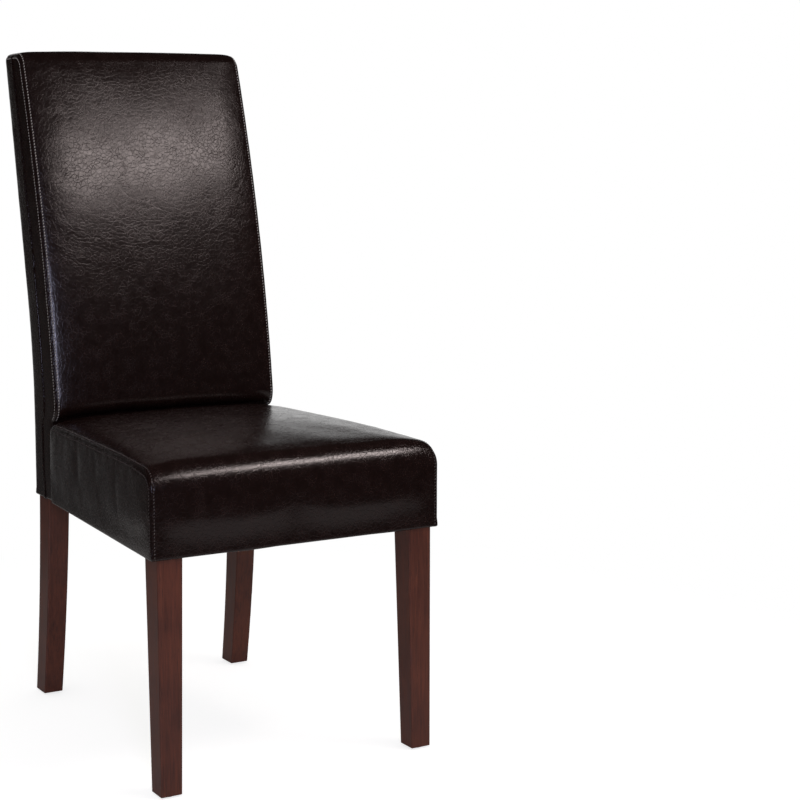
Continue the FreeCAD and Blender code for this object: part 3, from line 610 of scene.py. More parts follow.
# side panel of the back: rows from the front seam to the rear seam, rounded under at the hem
def makeBackSide(name, side, frontBorder, lengths, rearBorder, seed):
    form = backForm
    turned = lengths[5] - lengths[1]
    front = frontBorder[:turned + 1]
    summit = float(backTopHeight(np.array(side)))
    low = seatForm["hem"] + seatForm["hemRadius"]
    leanEnd = lengths[4] - lengths[1]
    reach = (summit - form["rearRadius"] - low) / (summit - form["frontRadius"] - low)
    height = low + (front[:leanEnd, 2] - low) * reach
    turn = np.linspace(0, math.pi / 2, turned + 1 - leanEnd)
    rear = np.concatenate([np.stack([rearLine(height), height], axis=-1),
                           np.stack([rearLine(summit - form["rearRadius"] * (1 - np.sin(turn)))
                                     - form["rearRadius"] * (1 - np.cos(turn)),
                                     summit - form["rearRadius"] * (1 - np.sin(turn))], axis=-1)])
    share = (sharesAcross(0.042, 6, 7) + 1) / 2
    wall = front[:, None, 1:] + (rear - front[:, 1:])[:, None, :] * share[None, :, None]
    wall = np.concatenate([np.full(wall.shape[:2] + (1,), form["half"]), wall], axis=-1)

    radius = seatForm["hemRadius"]
    turn = runs((0.0, math.pi / 2, 5))[:-1, None]
    tuck = runs((seatForm["fold"], radius, 4))[:-1, None]
    inset = np.concatenate([tuck, radius * (1 - np.sin(turn))])
    height = np.concatenate([seatForm["hem"] + 0 * tuck, seatForm["hem"] + radius * (1 - np.cos(turn))])
    near = form["front"] + inset
    distant = rearLine(height) - inset
    under = np.stack([form["half"] - inset + 0 * share, near + (distant - near) * share,
                      height + 0 * share], axis=-1)
    points = np.concatenate([under, wall])
    border = np.concatenate([frontBorder, rearBorder])
    stitched = len(frontBorder) - 6
    points = sewSide(points, border, form["sidePuff"], backSideFade(points), seed,
                     lambda place: place < stitched)
    points[..., 0] *= side
    return makePanel(name, placed(points), np.array([side, 0.0, 0.0]),
                     clearOfLegs(points, "rear_leg_left", "rear_leg_right"))


# how far a side of the back stands out: nothing at the hem, all of it 50 mm higher
def backSideFade(points):
    return ease((points[..., 2] - seatForm["hem"] - seatForm["hemRadius"]) / 0.05)


seatTop, seatBorder, seatPaths = makeSeatTop()
seatSides = []
for name, side, seed in (("seatSideLeft", -1.0, 23), ("seatSideRight", 1.0, 29)):
    seatSides.append(makeSeatSide(name, side, seatBorder, seed))
    seatPaths.append(sidePath(seatBorder, side, lambda points: seatOutline(np.clip(points[:, 1], 0, None)),
                              seatForm["sidePuff"], lambda points: seatSideFade(points, seatBorder), seed))
backFront, backBorders, backLengths, backPaths = makeBackFront()
backRear, rearBorders = makeBackRear()
backSides = []
seamRows = slice(backLengths[2] - backLengths[1] + 2, backLengths[6] - backLengths[1] + 3)
for name, side, seed in (("backSideLeft", -1.0, 31), ("backSideRight", 1.0, 37)):
    backSides.append(makeBackSide(name, side, backBorders[side], backLengths, rearBorders[side], seed))
    backPaths.append(sidePath(backBorders[side][seamRows], side, lambda points: backForm["half"],
                              backForm["sidePuff"], backSideFade, seed))
panels = [seatTop, *seatSides, backFront, backRear, *backSides]
print("leather panels shaped")


# stitches along a row: a bead of thread every pitch, four rings of five points along it, the
# ends thin and sunk in the leather
def makeStitches(name, paths):
    form = seamForm
    along = np.array([-0.5, -0.28, 0.28, 0.5]) * form["length"]
    thickness = np.array([0.45, 1.0, 1.0, 0.45]) * form["thread"]
    lift = np.array([-0.25, 0.18, 0.18, -0.25]) * form["thread"]
    angle = np.arange(5) * 2 * math.pi / 5
    beads = []
    for points, normals in paths:
        length = travelled(points, 0)
        places = np.arange(form["pitch"] / 2, length[-1], form["pitch"])
        centre, normal = [np.stack([np.interp(places, length, values[:, axis]) for axis in range(3)], axis=-1)
                          for values in (points, normals)]
        tangent = np.gradient(centre, axis=0)
        tangent /= np.linalg.norm(tangent, axis=1)[:, None]
        normal -= tangent * (normal * tangent).sum(axis=1)[:, None]
        normal /= np.linalg.norm(normal, axis=1)[:, None]
        aside = np.cross(tangent, normal)
        tangent, aside = (tangent * math.cos(form["slant"]) + aside * math.sin(form["slant"]),
                          aside * math.cos(form["slant"]) - tangent * math.sin(form["slant"]))
        ring = (centre[:, None, None] + tangent[:, None, None] * along[None, :, None, None]
                + normal[:, None, None] * (lift[:, None] + thickness[:, None] * np.cos(angle))[None, ..., None]
                + aside[:, None, None] * (thickness[:, None] * np.sin(angle))[None, ..., None])
        beads.append(ring.reshape(-1, 20, 3))
    beads = np.concatenate(beads)
    corner = np.arange(5)
    bands = [np.stack([corner + row, (corner + 1) % 5 + row, (corner + 1) % 5 + row + 5, corner + row + 5],
                      axis=-1) for row in (0, 5, 10)]
    sides = np.concatenate(bands)[None] + (np.arange(len(beads)) * 20)[:, None, None]
    caps = np.stack([corner[::-1], corner + 15])[None] + (np.arange(len(beads)) * 20)[:, None, None]
    mesh = bpy.data.meshes.new(name)
    mesh.from_pydata(placed(beads).reshape(-1, 3).tolist(), [],
                     sides.reshape(-1, 4).tolist() + caps.reshape(-1, 5).tolist())
    mesh.shade_smooth()
    stitches = bpy.data.objects.new(name, mesh)
    bpy.context.scene.collection.objects.link(stitches)
    return stitches


seatStitching = makeStitches("seatStitching", seatPaths)
backStitching = makeStitches("backStitching", backPaths)
print("stitches sewn")

padForm = {
    "voxel": 0.006,
    "pressure": 4.0,
    "slack": 0.006,           # how much wider the leather is cut than the pad
    "start": 0.0025,          # how far inside its place it starts
    "frames": 20,
    "mass": 0.9,
    "stretchStiffness": 80.0,
    "bendStiffness": 2.0,
    "backBase": 0.47,         # below this the back is held, behind the seat
    "baseFade": 0.04,
    "evenings": 4,
    "seatReach": 0.0015,      # the most that a point may end off its place
    "backReach": 0.0006,
    "grip": 0.016,            # how far from a seam the stitches hold the leather
}


def operate(piece, operation, modifier):
    with bpy.context.temp_override(object=piece, active_object=piece, selected_objects=[piece]):
        operation(modifier=modifier)


# one closed pad of several panels: their copies, with a plate over each open end, remeshed
# into one skin
def makePad(name, pieces, plates):
    shell = bmesh.new()
    for piece in pieces:
        shell.from_mesh(piece.data)
    for plate in plates:
        shell.faces.new([shell.verts.new(corner) for corner in placed(np.array(plate))])
    mesh = bpy.data.meshes.new(name)
    shell.to_mesh(mesh)
    shell.free()
    pad = bpy.data.objects.new(name, mesh)
    bpy.context.scene.collection.objects.link(pad)
    remesh = pad.modifiers.new("remesh", "REMESH")
    remesh.mode = "VOXEL"
    remesh.voxel_size = padForm["voxel"]
    operate(pad, bpy.ops.object.modifier_apply, "remesh")
    return pad


# blows the leather out over its pad: the pad starts a little inside its place, a cloth with
# pressure pushes it out between its seams, and every panel and stitch follows its surface;
# the hold on a point is one at a seam and falls by a bell of the distance to it; a move m is
# cut to reach * m / (reach + m), so none goes past the reach, and evened out with its
# neighbours' four times, because the voxels leave steps
def inflate(name, skin, plates, pieces, seams, base, reach):
    form = padForm
    pad = makePad(name, skin, plates)
    for piece in pieces:
        follow = piece.modifiers.new("follow", "SURFACE_DEFORM")
        follow.target = pad
        operate(piece, bpy.ops.object.surfacedeform_bind, "follow")
    rest = coordinates(pad.data)
    normals = np.empty(rest.size, np.float32)
    pad.data.vertices.foreach_get("normal", normals)
    normals = normals.reshape(-1, 3)
    distance = np.full(len(rest), 1.0)
    for seam in seams:
        for place in seam[::2]:
            distance = np.minimum(distance, np.linalg.norm(rest - place, axis=1))
    hold = np.maximum(bell(distance, form["grip"] / 2), 1 - ease((rest[:, 2] - base) / form["baseFade"]))
    group = pad.vertex_groups.new(name="hold")
    levels = np.round(hold, 1)
    for level in np.unique(levels):
        group.add(np.flatnonzero(levels == level).tolist(), float(level), "REPLACE")
    start = rest - normals * ((1 - hold) * form["start"])[:, None]
    pad.data.vertices.foreach_set("co", start.ravel())
    pad.data.update()
    cloth = pad.modifiers.new("cloth", "CLOTH")
    settings = cloth.settings
    settings.vertex_group_mass = "hold"
    settings.use_pressure = True
    settings.uniform_pressure_force = form["pressure"]
    settings.shrink_min = -form["slack"]
    settings.mass = form["mass"]
    settings.tension_stiffness = settings.compression_stiffness = form["stretchStiffness"]
    settings.bending_stiffness = form["bendStiffness"]
    settings.effector_weights.gravity = 0.0
    cloth.point_cache.frame_start, cloth.point_cache.frame_end = 1, form["frames"]
    for frame in range(1, form["frames"] + 1):
        bpy.context.scene.frame_set(frame)
    blown = coordinates(pad.evaluated_get(bpy.context.evaluated_depsgraph_get()).data)
    pad.modifiers.remove(cloth)
    bpy.context.scene.frame_set(1)
    move = (blown - rest) * (1 - hold)[:, None]
    move *= (reach / (reach + np.linalg.norm(move, axis=1)))[:, None]
    far = np.linalg.norm(move, axis=1)
    ends = np.empty(len(pad.data.edges) * 2, np.int32)
    pad.data.edges.foreach_get("vertices", ends)
    ends = ends.reshape(-1, 2)
    for step in range(form["evenings"]):
        total, count = move.copy(), np.ones(len(move))
        for here, there in (ends.T, ends.T[::-1]):
            np.add.at(total, here, move[there])
            np.add.at(count, here, 1)
        move = total / count[:, None]
    pad.data.vertices.foreach_set("co", (rest + move).ravel())
    pad.data.update()
    for piece in pieces:
        operate(piece, bpy.ops.object.modifier_apply, "follow")
    bpy.data.objects.remove(pad)
    print(name, "blown out:", len(rest), "points, moved", round(float(far.mean()) * 1000, 2), "mm on average,",
          round(float(far.max()) * 1000, 2), "at most")


def bothSides(border):
    return [placed(border * np.array([side, 1.0, 1.0])) for side in (-1.0, 1.0)]


# a flat quad: four corners from its two widths and two ends, in the side view
def plate(halves, ends):
    return [(-halves[0], *ends[0]), (halves[0], *ends[0]), (halves[1], *ends[1]), (-halves[1], *ends[1])]


low, deep = seatForm["hem"] + 0.0005, seatForm["depth"] - 0.0005
inflate("seatPad", [seatTop, *seatSides],
        [plate((seatForm["frontHalf"], seatForm["rearHalf"]), ((0.0, low), (deep, low))),
         plate((seatForm["rearHalf"],) * 2, ((deep, low), (deep, 0.44)))],
        [seatTop, *seatSides, seatStitching], bothSides(seatBorder), seatForm["hem"],
        padForm["seatReach"])
inflate("backPad", [backFront, backRear, *backSides],
        [plate((backForm["half"],) * 2, ((backForm["front"], low), (float(rearLine(np.array(low))), low)))],
        [backFront, backRear, *backSides, backStitching],
        [placed(border[side]) for border in (backBorders, rearBorders) for side in (-1.0, 1.0)],
        padForm["backBase"], padForm["backReach"])


dustForm = {
    "inset": 0.006,           # from the leather's edge
    "thickness": 0.0006,
    "height": 0.3281,         # its middle, just under the leather that is folded in
    "sag": 0.0025,
    "level": 0.018,           # this far in it lies flat under the leather
}


# a dust cover: rows from front to back, columns across; it sags in the open field as the
# product of two smooth rises from its edges, and has wrinkles there
def makeDustCover(name, across, down, seed):
    form = dustForm
    gap = np.minimum(np.abs(across - across[:, :1]), np.abs(across[:, -1:] - across))
    ends = np.minimum(down - down[:1], down[-1:] - down)
    sag = ease((gap - form["level"]) / 0.09) * ease((ends - form["level"]) / 0.09)
    points = np.stack([across, down, np.full_like(across, form["height"])], axis=-1)
    wrinkle = unevenness(points * np.array([1.0, 0.35, 1.0]), 0.05, seed) * 0.0004
    points[..., 2] -= (form["sag"] + wrinkle) * sag
    return points


# the seat's: square notches leave room for the front legs
def makeSeatDustCover():
    form = dustForm
    low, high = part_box("front_leg_left")
    notchSide, notchEnd = -high.x - 0.0012, high.y - seatStart + 0.0012
    down = runs((form["inset"], notchEnd, 8), (notchEnd, seatForm["depth"] - form["inset"], 66))[:, None]
    inner = np.linspace(-notchSide, notchSide, 61)[None]
    outer = np.linspace(0, 1, 7)[1:][None]
    rim = notchSide + (seatOutline(down) - form["inset"] - notchSide) * outer
    across = np.concatenate([-rim[:, ::-1], inner + 0 * down, rim], axis=1)
    points = makeDustCover("seatDustCover", across, down + 0 * across, 41)
    keep = np.ones((across.shape[0] - 1, across.shape[1] - 1), bool)
    keep[:8, :6] = keep[:8, -6:] = False
    cover = makePanel("seatDustCover", placed(points), np.array([0.0, 0.0, -1.0]), keep)
    width, length = 2 * (seatForm["frontHalf"] - form["inset"]), seatForm["depth"] - 2 * form["inset"]
    return cover, (width, length)


# the back's: a narrow strip, its rear corners notched round the posts
def makeBackDustCover():
    form = dustForm
    left, right, near, far = legRoom("rear_leg_right")
    front, half = backForm["front"] + form["inset"], backForm["half"] - form["inset"]
    end = float(rearLine(np.array(seatForm["hem"]))) - form["inset"]
    inner = np.linspace(-left, left, 53)
    post = np.linspace(left, min(right, half), 7)[1:]
    across = np.concatenate([-post[::-1], inner, post])
    down = runs((front, near, 8), (near, end, 10))[:, None]
    across = np.broadcast_to(across[None], (len(down), len(across)))
    points = makeDustCover("backDustCover", across, down + 0 * across, 43)
    points[..., 2] = form["height"]
    keep = np.ones((across.shape[0] - 1, across.shape[1] - 1), bool)
    keep[8:, :6] = keep[8:, -6:] = False
    cover = makePanel("backDustCover", placed(points), np.array([0.0, 0.0, -1.0]), keep)
    return cover, (2 * half, end - front)


seatDustCover, seatDustSize = makeSeatDustCover()
backDustCover, backDustSize = makeBackDustCover()
print("dust covers cut")

for piece in [*panels, seatDustCover, backDustCover]:
    thickness = seamForm["leather"] if piece in panels else dustForm["thickness"]
    wall = piece.modifiers.new("thickness", "SOLIDIFY")
    wall.thickness = thickness
    wall.offset = -1.0 if piece in panels else 0.0


def linear(colour):
    values = [int(colour[place:place + 2], 16) / 255 for place in (1, 3, 5)]
    return [value / 12.92 if value <= 0.04045 else ((value + 0.055) / 1.055) ** 2.4 for value in values] + [1.0]


# adds a node: settings by name, and for its sockets either a value or another node's output
def addNode(tree, kind, sockets=None, **settings):
    node = tree.nodes.new(kind)
    for name, value in settings.items():
        setattr(node, name, value)
    for name, value in (sockets or {}).items():
        if isinstance(value, bpy.types.NodeSocket):
            tree.links.new(value, node.inputs[name])
        else:
            node.inputs[name].default_value = value
    return node


def newMaterial(name):
    material = bpy.data.materials.new(name)
    material.use_nodes = True
    material.node_tree.nodes.clear()
    return material, material.node_tree


# ends a material: the shader with its own numbers, joined to the output
def finishMaterial(tree, sockets):
    shader = addNode(tree, "ShaderNodeBsdfPrincipled", sockets)
    addNode(tree, "ShaderNodeOutputMaterial", {"Surface": shader.outputs[0]})


leatherLook = {
    "colour": "#140907",
    "worn": "#221310",
    "cell": 0.0062,           # size of the crackle's cells
    "grain": 0.0021,          # the real grain is 1.1 mm, too fine to show, so it is drawn coarser
    "crackDepth": 0.00006,
    "crackDulling": 0.055,     # the cracks are duller by this, which draws them dark in the sheen
    "grainDepth": 0.00002,
    "roughness": (0.24, 0.32),
}


# Bonded leather: split leather under a thin polyurethane coat, pressed with a grain while warm.
# The coat gives a deep, wet-looking gloss, and the grain breaks it into small patches.
def makeLeather():
    look = leatherLook
    material, tree = newMaterial("bondedLeather")
    place = addNode(tree, "ShaderNodeUVMap", uv_map="flat").outputs[0]
    warp = addNode(tree, "ShaderNodeTexNoise", {"Vector": place, "Scale": 90.0, "Detail": 2.0})
    centred = addNode(tree, "ShaderNodeVectorMath", {0: warp.outputs["Color"], 1: (0.5, 0.5, 0.5)},
                      operation="SUBTRACT")
    shift = addNode(tree, "ShaderNodeVectorMath", {0: centred.outputs[0], "Scale": 0.006}, operation="SCALE")
    bent = addNode(tree, "ShaderNodeVectorMath", {0: place, 1: shift.outputs[0]}, operation="ADD").outputs[0]
    crackle = addNode(tree, "ShaderNodeTexVoronoi", {"Vector": bent, "Scale": 1 / look["cell"]},
                      feature="DISTANCE_TO_EDGE")
    crack = addNode(tree, "ShaderNodeMapRange", {"Value": crackle.outputs["Distance"], "From Max": 0.13},
                    interpolation_type="SMOOTHSTEP")
    grain = addNode(tree, "ShaderNodeTexVoronoi", {"Vector": bent, "Scale": 1 / look["grain"]}, feature="F1")
    mottle = addNode(tree, "ShaderNodeTexNoise", {"Vector": place, "Scale": 55.0, "Detail": 4.0,
                                                  "Roughness": 0.6})
    broad = addNode(tree, "ShaderNodeTexNoise", {"Vector": place, "Scale": 9.0, "Detail": 3.0})
    patches = addNode(tree, "ShaderNodeMapRange", {"Value": mottle.outputs["Fac"], "From Min": 0.35,
                                                   "From Max": 0.7})
    pebbles = addNode(tree, "ShaderNodeMath", {0: grain.outputs["Distance"], 1: -look["grainDepth"]},
                      operation="MULTIPLY")
    cells = addNode(tree, "ShaderNodeMath", {0: crack.outputs[0], 1: look["crackDepth"], 2: pebbles.outputs[0]},
                    operation="MULTIPLY_ADD")
    height = addNode(tree, "ShaderNodeMath", {0: mottle.outputs["Fac"], 1: 0.00022, 2: cells.outputs[0]},
                     operation="MULTIPLY_ADD")
    bump = addNode(tree, "ShaderNodeBump", {"Height": height.outputs[0], "Distance": 1.0, "Strength": 1.0})
    tone = addNode(tree, "ShaderNodeMath", {0: patches.outputs[0], 1: broad.outputs["Fac"]},
                   operation="MULTIPLY")
    colour = addNode(tree, "ShaderNodeMix", {0: tone.outputs[0], 6: linear(look["colour"]),
                                             7: linear(look["worn"])}, data_type="RGBA")
    gloss = addNode(tree, "ShaderNodeMapRange", {"Value": patches.outputs[0], "To Min": look["roughness"][0],
                                                 "To Max": look["roughness"][1]})
    dulled = addNode(tree, "ShaderNodeMath", {0: crack.outputs[0], 1: -look["crackDulling"], 2: gloss.outputs[0]},
                     operation="MULTIPLY_ADD")
    finishMaterial(tree, {"Base Color": colour.outputs[2], "Roughness": dulled.outputs[0], "IOR": 1.5,
                          "Specular Tint": (1.0, 0.93, 0.92, 1.0), "Normal": bump.outputs[0]})
    return material


stainLook = {
    "dark": "#401c13",
    "light": "#6a3320",
    "streak": 0.0028,
    "length": 0.075,
    "roughness": (0.38, 0.50),
}


# Rubberwood under a mahogany stain and a satin nitrocellulose lacquer, sprayed: fine upright
# streaks where the pores took more stain, under a soft, even shine.
def makeStainedWood():
    look = stainLook
    material, tree = newMaterial("stainedRubberwood")
    place = addNode(tree, "ShaderNodeTexCoord").outputs["Object"]
    drawn = addNode(tree, "ShaderNodeMapping", {"Vector": place, "Scale": (1 / look["streak"], 1 / look["streak"],
                                                                          1 / look["length"])})
    streaks = addNode(tree, "ShaderNodeTexNoise", {"Vector": drawn.outputs[0], "Scale": 1.0, "Detail": 4.0,
                                                   "Roughness": 0.65, "Distortion": 0.4})
    fine = addNode(tree, "ShaderNodeMapping", {"Vector": place, "Scale": (900.0, 900.0, 60.0)})
    pores = addNode(tree, "ShaderNodeTexNoise", {"Vector": fine.outputs[0], "Scale": 1.0, "Detail": 2.0})
    broad = addNode(tree, "ShaderNodeTexNoise", {"Vector": place, "Scale": 14.0, "Detail": 2.0})
    both = addNode(tree, "ShaderNodeMath", {0: broad.outputs["Fac"], 1: 0.5, 2: streaks.outputs["Fac"]},
                   operation="MULTIPLY_ADD")
    share = addNode(tree, "ShaderNodeMapRange", {"Value": both.outputs[0], "From Min": 0.5, "From Max": 1.05})
    colour = addNode(tree, "ShaderNodeMix", {0: share.outputs[0], 6: linear(look["dark"]),
                                             7: linear(look["light"])}, data_type="RGBA")
    poreShare = addNode(tree, "ShaderNodeMapRange", {"Value": pores.outputs["Fac"], "From Min": 0.56,
                                                     "From Max": 0.72, "To Max": 0.45})
    pored = addNode(tree, "ShaderNodeMix", {0: poreShare.outputs[0], 6: colour.outputs[2],
                                            7: linear("#22110d")}, data_type="RGBA")
    gloss = addNode(tree, "ShaderNodeMapRange", {"Value": streaks.outputs["Fac"], "From Min": 0.3,
                                                 "From Max": 0.7, "To Min": look["roughness"][0],
                                                 "To Max": look["roughness"][1]})
    height = addNode(tree, "ShaderNodeMath", {0: pores.outputs["Fac"], 1: -0.00006}, operation="MULTIPLY")
    bump = addNode(tree, "ShaderNodeBump", {"Height": height.outputs[0], "Distance": 1.0})
    finishMaterial(tree, {"Base Color": pored.outputs[2], "Roughness": gloss.outputs[0], "IOR": 1.5,
                          "Normal": bump.outputs[0]})
    return material


# A plain material with one pattern of noise in its colour, its roughness and its surface. The
# pattern is stretched by three lengths in metres.
def makePlain(name, dark, light, lengths, roughness, depth, metallic=0.0, ior=1.5, sheen=0.0):
    material, tree = newMaterial(name)
    place = addNode(tree, "ShaderNodeTexCoord").outputs["Object"]
    drawn = addNode(tree, "ShaderNodeMapping", {"Vector": place, "Scale": [1 / length for length in lengths]})
    pattern = addNode(tree, "ShaderNodeTexNoise", {"Vector": drawn.outputs[0], "Scale": 1.0, "Detail": 4.0})
    share = addNode(tree, "ShaderNodeMapRange", {"Value": pattern.outputs["Fac"], "From Min": 0.35,
                                                 "From Max": 0.65})
    colour = addNode(tree, "ShaderNodeMix", {0: share.outputs[0], 6: linear(dark), 7: linear(light)},
                     data_type="RGBA")
    gloss = addNode(tree, "ShaderNodeMapRange", {"Value": share.outputs[0], "To Min": roughness[0],
                                                 "To Max": roughness[1]})
    height = addNode(tree, "ShaderNodeMath", {0: share.outputs[0], 1: depth}, operation="MULTIPLY")
    bump = addNode(tree, "ShaderNodeBump", {"Height": height.outputs[0], "Distance": 1.0})
    sockets = {"Base Color": colour.outputs[2], "Roughness": gloss.outputs[0], "Normal": bump.outputs[0],
               "Metallic": metallic, "Sheen Weight": sheen}
    if metallic == 0:
        sockets["IOR"] = ior
    finishMaterial(tree, sockets)
    return material


leather = makeLeather()
finishes = {
    "stained_wood": makeStainedWood(),
    # sawn pine, planed by the yard: pale, with brown latewood lines
    "bare_wood": makePlain("sawnPine", "#b98f5c", "#dcbd8c", (0.004, 0.03, 0.03), (0.6, 0.75), 0.0001, ior=1.5),
    # webbing of woven rubber and polypropylene: dull, ribbed across
    "webbing": makePlain("wovenWebbing", "#1c1c1e", "#3a3a3d", (0.0016, 0.0016, 0.0016), (0.7, 0.85), 0.0002),
    # bright zinc plating, passivated: a pale, slightly blotched metal
    "zinc_plated_steel": makePlain("zincPlate", "#b5b6b8", "#d6d7d9", (0.003, 0.003, 0.003), (0.28, 0.42),
                                   0.00002, metallic=1.0),
    # nylon glides, moulded: matt and fine-grained
    "dark_plastic": makePlain("mouldedNylon", "#1f1b19", "#2b2623", (0.0012, 0.0012, 0.0012), (0.45, 0.6),
                              0.00004, ior=1.53),
}
# spun-bonded polypropylene, black: matt, with a soft bloom of loose fibres
dustCloth = makePlain("spunDustCloth", "#101010", "#242424", (0.0012, 0.0012, 0.0012), (0.85, 0.95), 0.0001,
                      sheen=0.2)
# bonded polyester thread, twisted and waxed, one thread in two lit and shaded copies: the back's copy
# is greyer and paler than the leather, a painted highlight; the seat's copy is near the leather's own colour, painted
# shade
threadPaintedLit = makePlain("polyesterThreadPaintedHighlight", "#8a817c", "#b5aca6", (0.0009, 0.0009, 0.0009), (0.4, 0.55),
                       0.00005, sheen=0.15)
threadPaintedShaded = makePlain("polyesterThreadPaintedShade", "#2c211e", "#4a3d38", (0.0009, 0.0009, 0.0009), (0.4, 0.55),
                       0.00005, sheen=0.15)

for panel in panels:
    panel.data.materials.append(leather)
for piece in (seatDustCover, backDustCover):
    piece.data.materials.append(dustCloth)
# the seat's stitches take the thread's painted-shade copy, the back's stitches its painted-highlight copy
seatStitching.data.materials.append(threadPaintedShaded)
backStitching.data.materials.append(threadPaintedLit)
print("materials mixed")

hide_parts("seat_cover_top", "seat_foam", "seat_front_padding")
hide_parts("back_cover_front", "back_foam")
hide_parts("back_cover_rear", "back_rear_padding")
for piece, hand in zip(seatSides + backSides, ("left", "right") * 2):
    unit = "seat" if piece in seatSides else "back"
    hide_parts(unit + "_cover_side_" + hand, unit + "_side_padding_" + hand)
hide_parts("dust_cover")
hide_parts("back_dust_cover")
for piece in panels + [seatDustCover, backDustCover, seatStitching, backStitching]:
    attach(piece, "root")
for part in frame["record"]["subparts"]:
    node = frame["nodes"][part["node"]]
    if part["material_slot"] in finishes:
        node.data.materials.clear()
        node.data.materials.append(finishes[part["material_slot"]])


roomForm = {
    "floor": "#bdbbb8",
    "ambient": 0.55,
    "dim": 0.012,             # what the leather mirrors in front: a dark studio
    "window": 0.95,           # and behind it, low on the right: the bright backdrop
    "windowHeading": (0.42, 0.90, 0.10),
    "farFloor": 0.04,
    "radius": 1.25,
}


# the world: white for the camera. For reflections it is dim, with the bright backdrop low
# behind the chair on the right, by smooth steps of the angle to its heading and of the height,
# and a faint far floor behind. An even grey for all other light.
def makeWorld():
    form = roomForm
    world = bpy.data.worlds.new("studio")
    bpy.context.scene.world = world
    world.use_nodes = True
    tree = world.node_tree
    tree.nodes.clear()
    path = addNode(tree, "ShaderNodeLightPath")
    seen = addNode(tree, "ShaderNodeMath", {0: path.outputs["Is Camera Ray"], 1: path.outputs["Is Transmission Ray"]},
                   operation="MAXIMUM")
    heading = addNode(tree, "ShaderNodeTexCoord").outputs["Generated"]
    parts = addNode(tree, "ShaderNodeSeparateXYZ", {"Vector": heading})
    toward = addNode(tree, "ShaderNodeVectorMath", {0: heading, 1: Vector(form["windowHeading"]).normalized()},
                     operation="DOT_PRODUCT")
    lobe = addNode(tree, "ShaderNodeMapRange", {"Value": toward.outputs["Value"], "From Min": 0.82, "From Max": 0.97},
                   interpolation_type="SMOOTHSTEP")
    low = addNode(tree, "ShaderNodeMapRange", {"Value": parts.outputs["Z"], "From Min": 0.14, "From Max": 0.36,
                                               "To Min": form["window"], "To Max": 0.0},
                  interpolation_type="SMOOTHSTEP")
    window = addNode(tree, "ShaderNodeMath", {0: lobe.outputs[0], 1: low.outputs[0], 2: form["dim"]},
                     operation="MULTIPLY_ADD")
    below = addNode(tree, "ShaderNodeMapRange", {"Value": parts.outputs["Z"], "From Min": -0.10, "From Max": 0.0,
                                                 "To Min": form["farFloor"], "To Max": 0.0})
    behind = addNode(tree, "ShaderNodeMapRange", {"Value": parts.outputs["Y"], "From Min": 0.2, "From Max": 0.8})
    mirrored = addNode(tree, "ShaderNodeMath", {0: below.outputs[0], 1: behind.outputs[0], 2: window.outputs[0]},
                       operation="MULTIPLY_ADD")
    other = addNode(tree, "ShaderNodeMix", {0: path.outputs["Is Glossy Ray"], 2: form["ambient"],
                                            3: mirrored.outputs[0]}, data_type="FLOAT")
    strength = addNode(tree, "ShaderNodeMix", {0: seen.outputs[0], 2: other.outputs[0], 3: 1.0},
                       data_type="FLOAT")
    light = addNode(tree, "ShaderNodeBackground", {"Color": (1.0, 1.0, 1.0, 1.0), "Strength": strength.outputs[0]})
    addNode(tree, "ShaderNodeOutputWorld", {"Surface": light.outputs[0]})


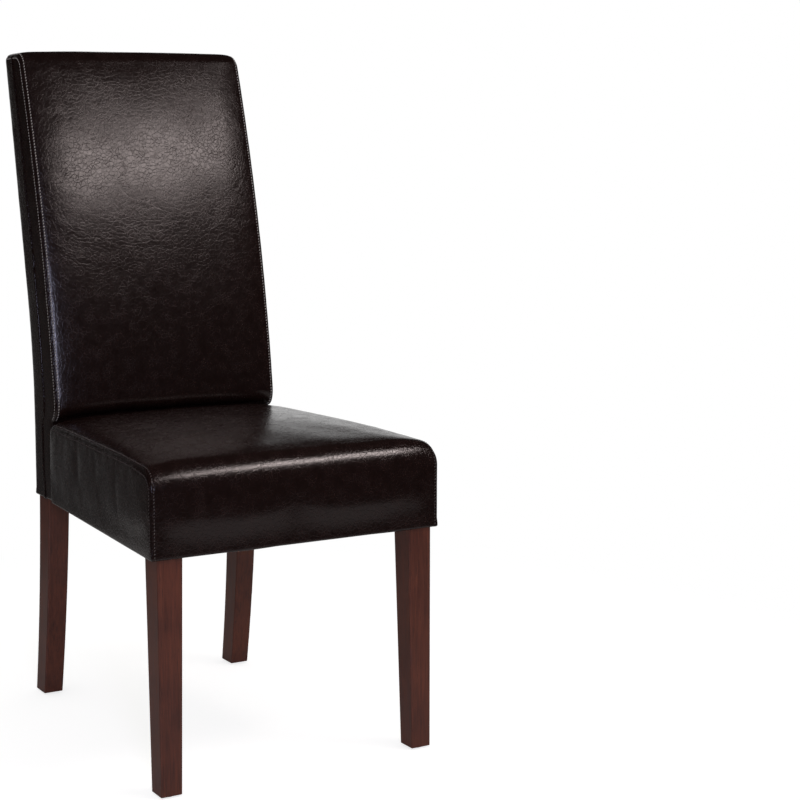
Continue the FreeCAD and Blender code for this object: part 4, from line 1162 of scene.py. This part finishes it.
# the floor: a round sheet of seamless paper, concentric rings. To the camera it is near white
# where it is lit, keeps the chair's shadow, and fades to the white room at its rim.
def makeFloor():
    form = roomForm
    rim = np.linspace(0, 2 * math.pi, 96, endpoint=False)
    radii = np.array([0.25, 0.5, 0.75, 1.0])[:, None] * form["radius"]
    points = np.stack([np.cos(rim) * radii, np.sin(rim) * radii, 0 * rim + 0 * radii], axis=-1).reshape(-1, 3)
    index = np.arange(len(points)).reshape(len(radii), -1)
    quads = np.stack([index[:-1], index[1:], np.roll(index[1:], -1, axis=1), np.roll(index[:-1], -1, axis=1)],
                     axis=-1).reshape(-1, 4)
    mesh = bpy.data.meshes.new("floor")
    mesh.from_pydata(points.tolist(), [], quads.tolist() + [index[0].tolist()])
    floor = bpy.data.objects.new("floor", mesh)
    bpy.context.scene.collection.objects.link(floor)
    material, tree = newMaterial("paper")
    path = addNode(tree, "ShaderNodeLightPath")
    seen = addNode(tree, "ShaderNodeMath", {0: path.outputs["Is Camera Ray"], 1: path.outputs["Is Transmission Ray"]},
                   operation="MAXIMUM")
    place = addNode(tree, "ShaderNodeTexCoord").outputs["Object"]
    fibres = addNode(tree, "ShaderNodeTexNoise", {"Vector": place, "Scale": 300.0, "Detail": 3.0})
    paper = addNode(tree, "ShaderNodeMix", {0: fibres.outputs["Fac"], 6: linear(form["floor"]),
                                            7: linear("#c4c2bf")}, data_type="RGBA")
    plain = addNode(tree, "ShaderNodeBsdfDiffuse", {"Color": paper.outputs[2]})
    glow = addNode(tree, "ShaderNodeEmission", {"Color": (1.0, 1.0, 1.0, 1.0), "Strength": 0.74})
    added = addNode(tree, "ShaderNodeAddShader", {0: plain.outputs[0], 1: glow.outputs[0]})
    white = addNode(tree, "ShaderNodeEmission", {"Color": (1.0, 1.0, 1.0, 1.0), "Strength": 1.0})
    reach = addNode(tree, "ShaderNodeVectorMath", {0: place}, operation="LENGTH")
    fade = addNode(tree, "ShaderNodeMapRange", {"Value": reach.outputs["Value"], "From Min": form["radius"] * 0.5,
                                                "From Max": form["radius"] * 0.97},
                   interpolation_type="SMOOTHSTEP")
    faded = addNode(tree, "ShaderNodeMixShader", {0: fade.outputs[0], 1: added.outputs[0], 2: white.outputs[0]})
    shown = addNode(tree, "ShaderNodeMixShader", {0: seen.outputs[0], 1: plain.outputs[0], 2: faded.outputs[0]})
    addNode(tree, "ShaderNodeOutputMaterial", {"Surface": shown.outputs[0]})
    mesh.materials.append(material)
    return floor


# a soft box: its middle, the point that it faces, its width and height, and its brightness
# as seen in a mirror; a grid in front narrows its beam to the angle given, which Blender makes
# brighter by one over (1 - half angle / tangent of it)
def addLamp(name, place, target, width, height, brightness, colour="#ffffff", beam=179.0):
    data = bpy.data.lights.new(name, "AREA")
    data.shape = "RECTANGLE"
    data.size, data.size_y = width, height
    half = math.radians(beam / 2)
    data.spread = 2 * half
    data.energy = brightness * math.pi * width * height * (1 - half / math.tan(half))
    data.color = linear(colour)[:3]
    lamp = bpy.data.objects.new(name, data)
    lamp.location = place
    lamp.rotation_euler = (Vector(target) - Vector(place)).to_track_quat("-Z", "Y").to_euler()
    lamp.visible_camera = False
    bpy.context.scene.collection.objects.link(lamp)
    return lamp


makeWorld()
floor = makeFloor()
addLamp("sheenLamp", (0.60, -1.08, 1.60), (0.0, 0.2, 0.87), 0.85, 0.2, 10.0, "#fff6f4")
addLamp("edgeLamp", (1.21, -1.15, 2.34), (0.0, -0.3, 0.45), 0.7, 0.26, 21.0, "#fff6f4", 36.0)
addLamp("leftLamp", (-1.02, -2.87, 1.21), (-0.15, 0.15, 0.6), 0.40, 0.7, 26.0, "#d4dcff")
print("lamps set")

cameraForm = {"place": (-1.13501, -2.4543, 0.8576), "forward": (0.51281, 0.84784, -0.13489), "lens": 80.586}
cameraData = bpy.data.cameras.new("camera")
cameraData.lens = cameraForm["lens"]
cameraData.sensor_width = 36.0
cameraData.clip_start = 0.05
camera = bpy.data.objects.new("camera", cameraData)
camera.location = cameraForm["place"]
camera.rotation_euler = Vector(cameraForm["forward"]).to_track_quat("-Z", "Y").to_euler()
bpy.context.scene.collection.objects.link(camera)
bpy.context.scene.camera = camera
bpy.context.scene.view_settings.view_transform = "Standard"
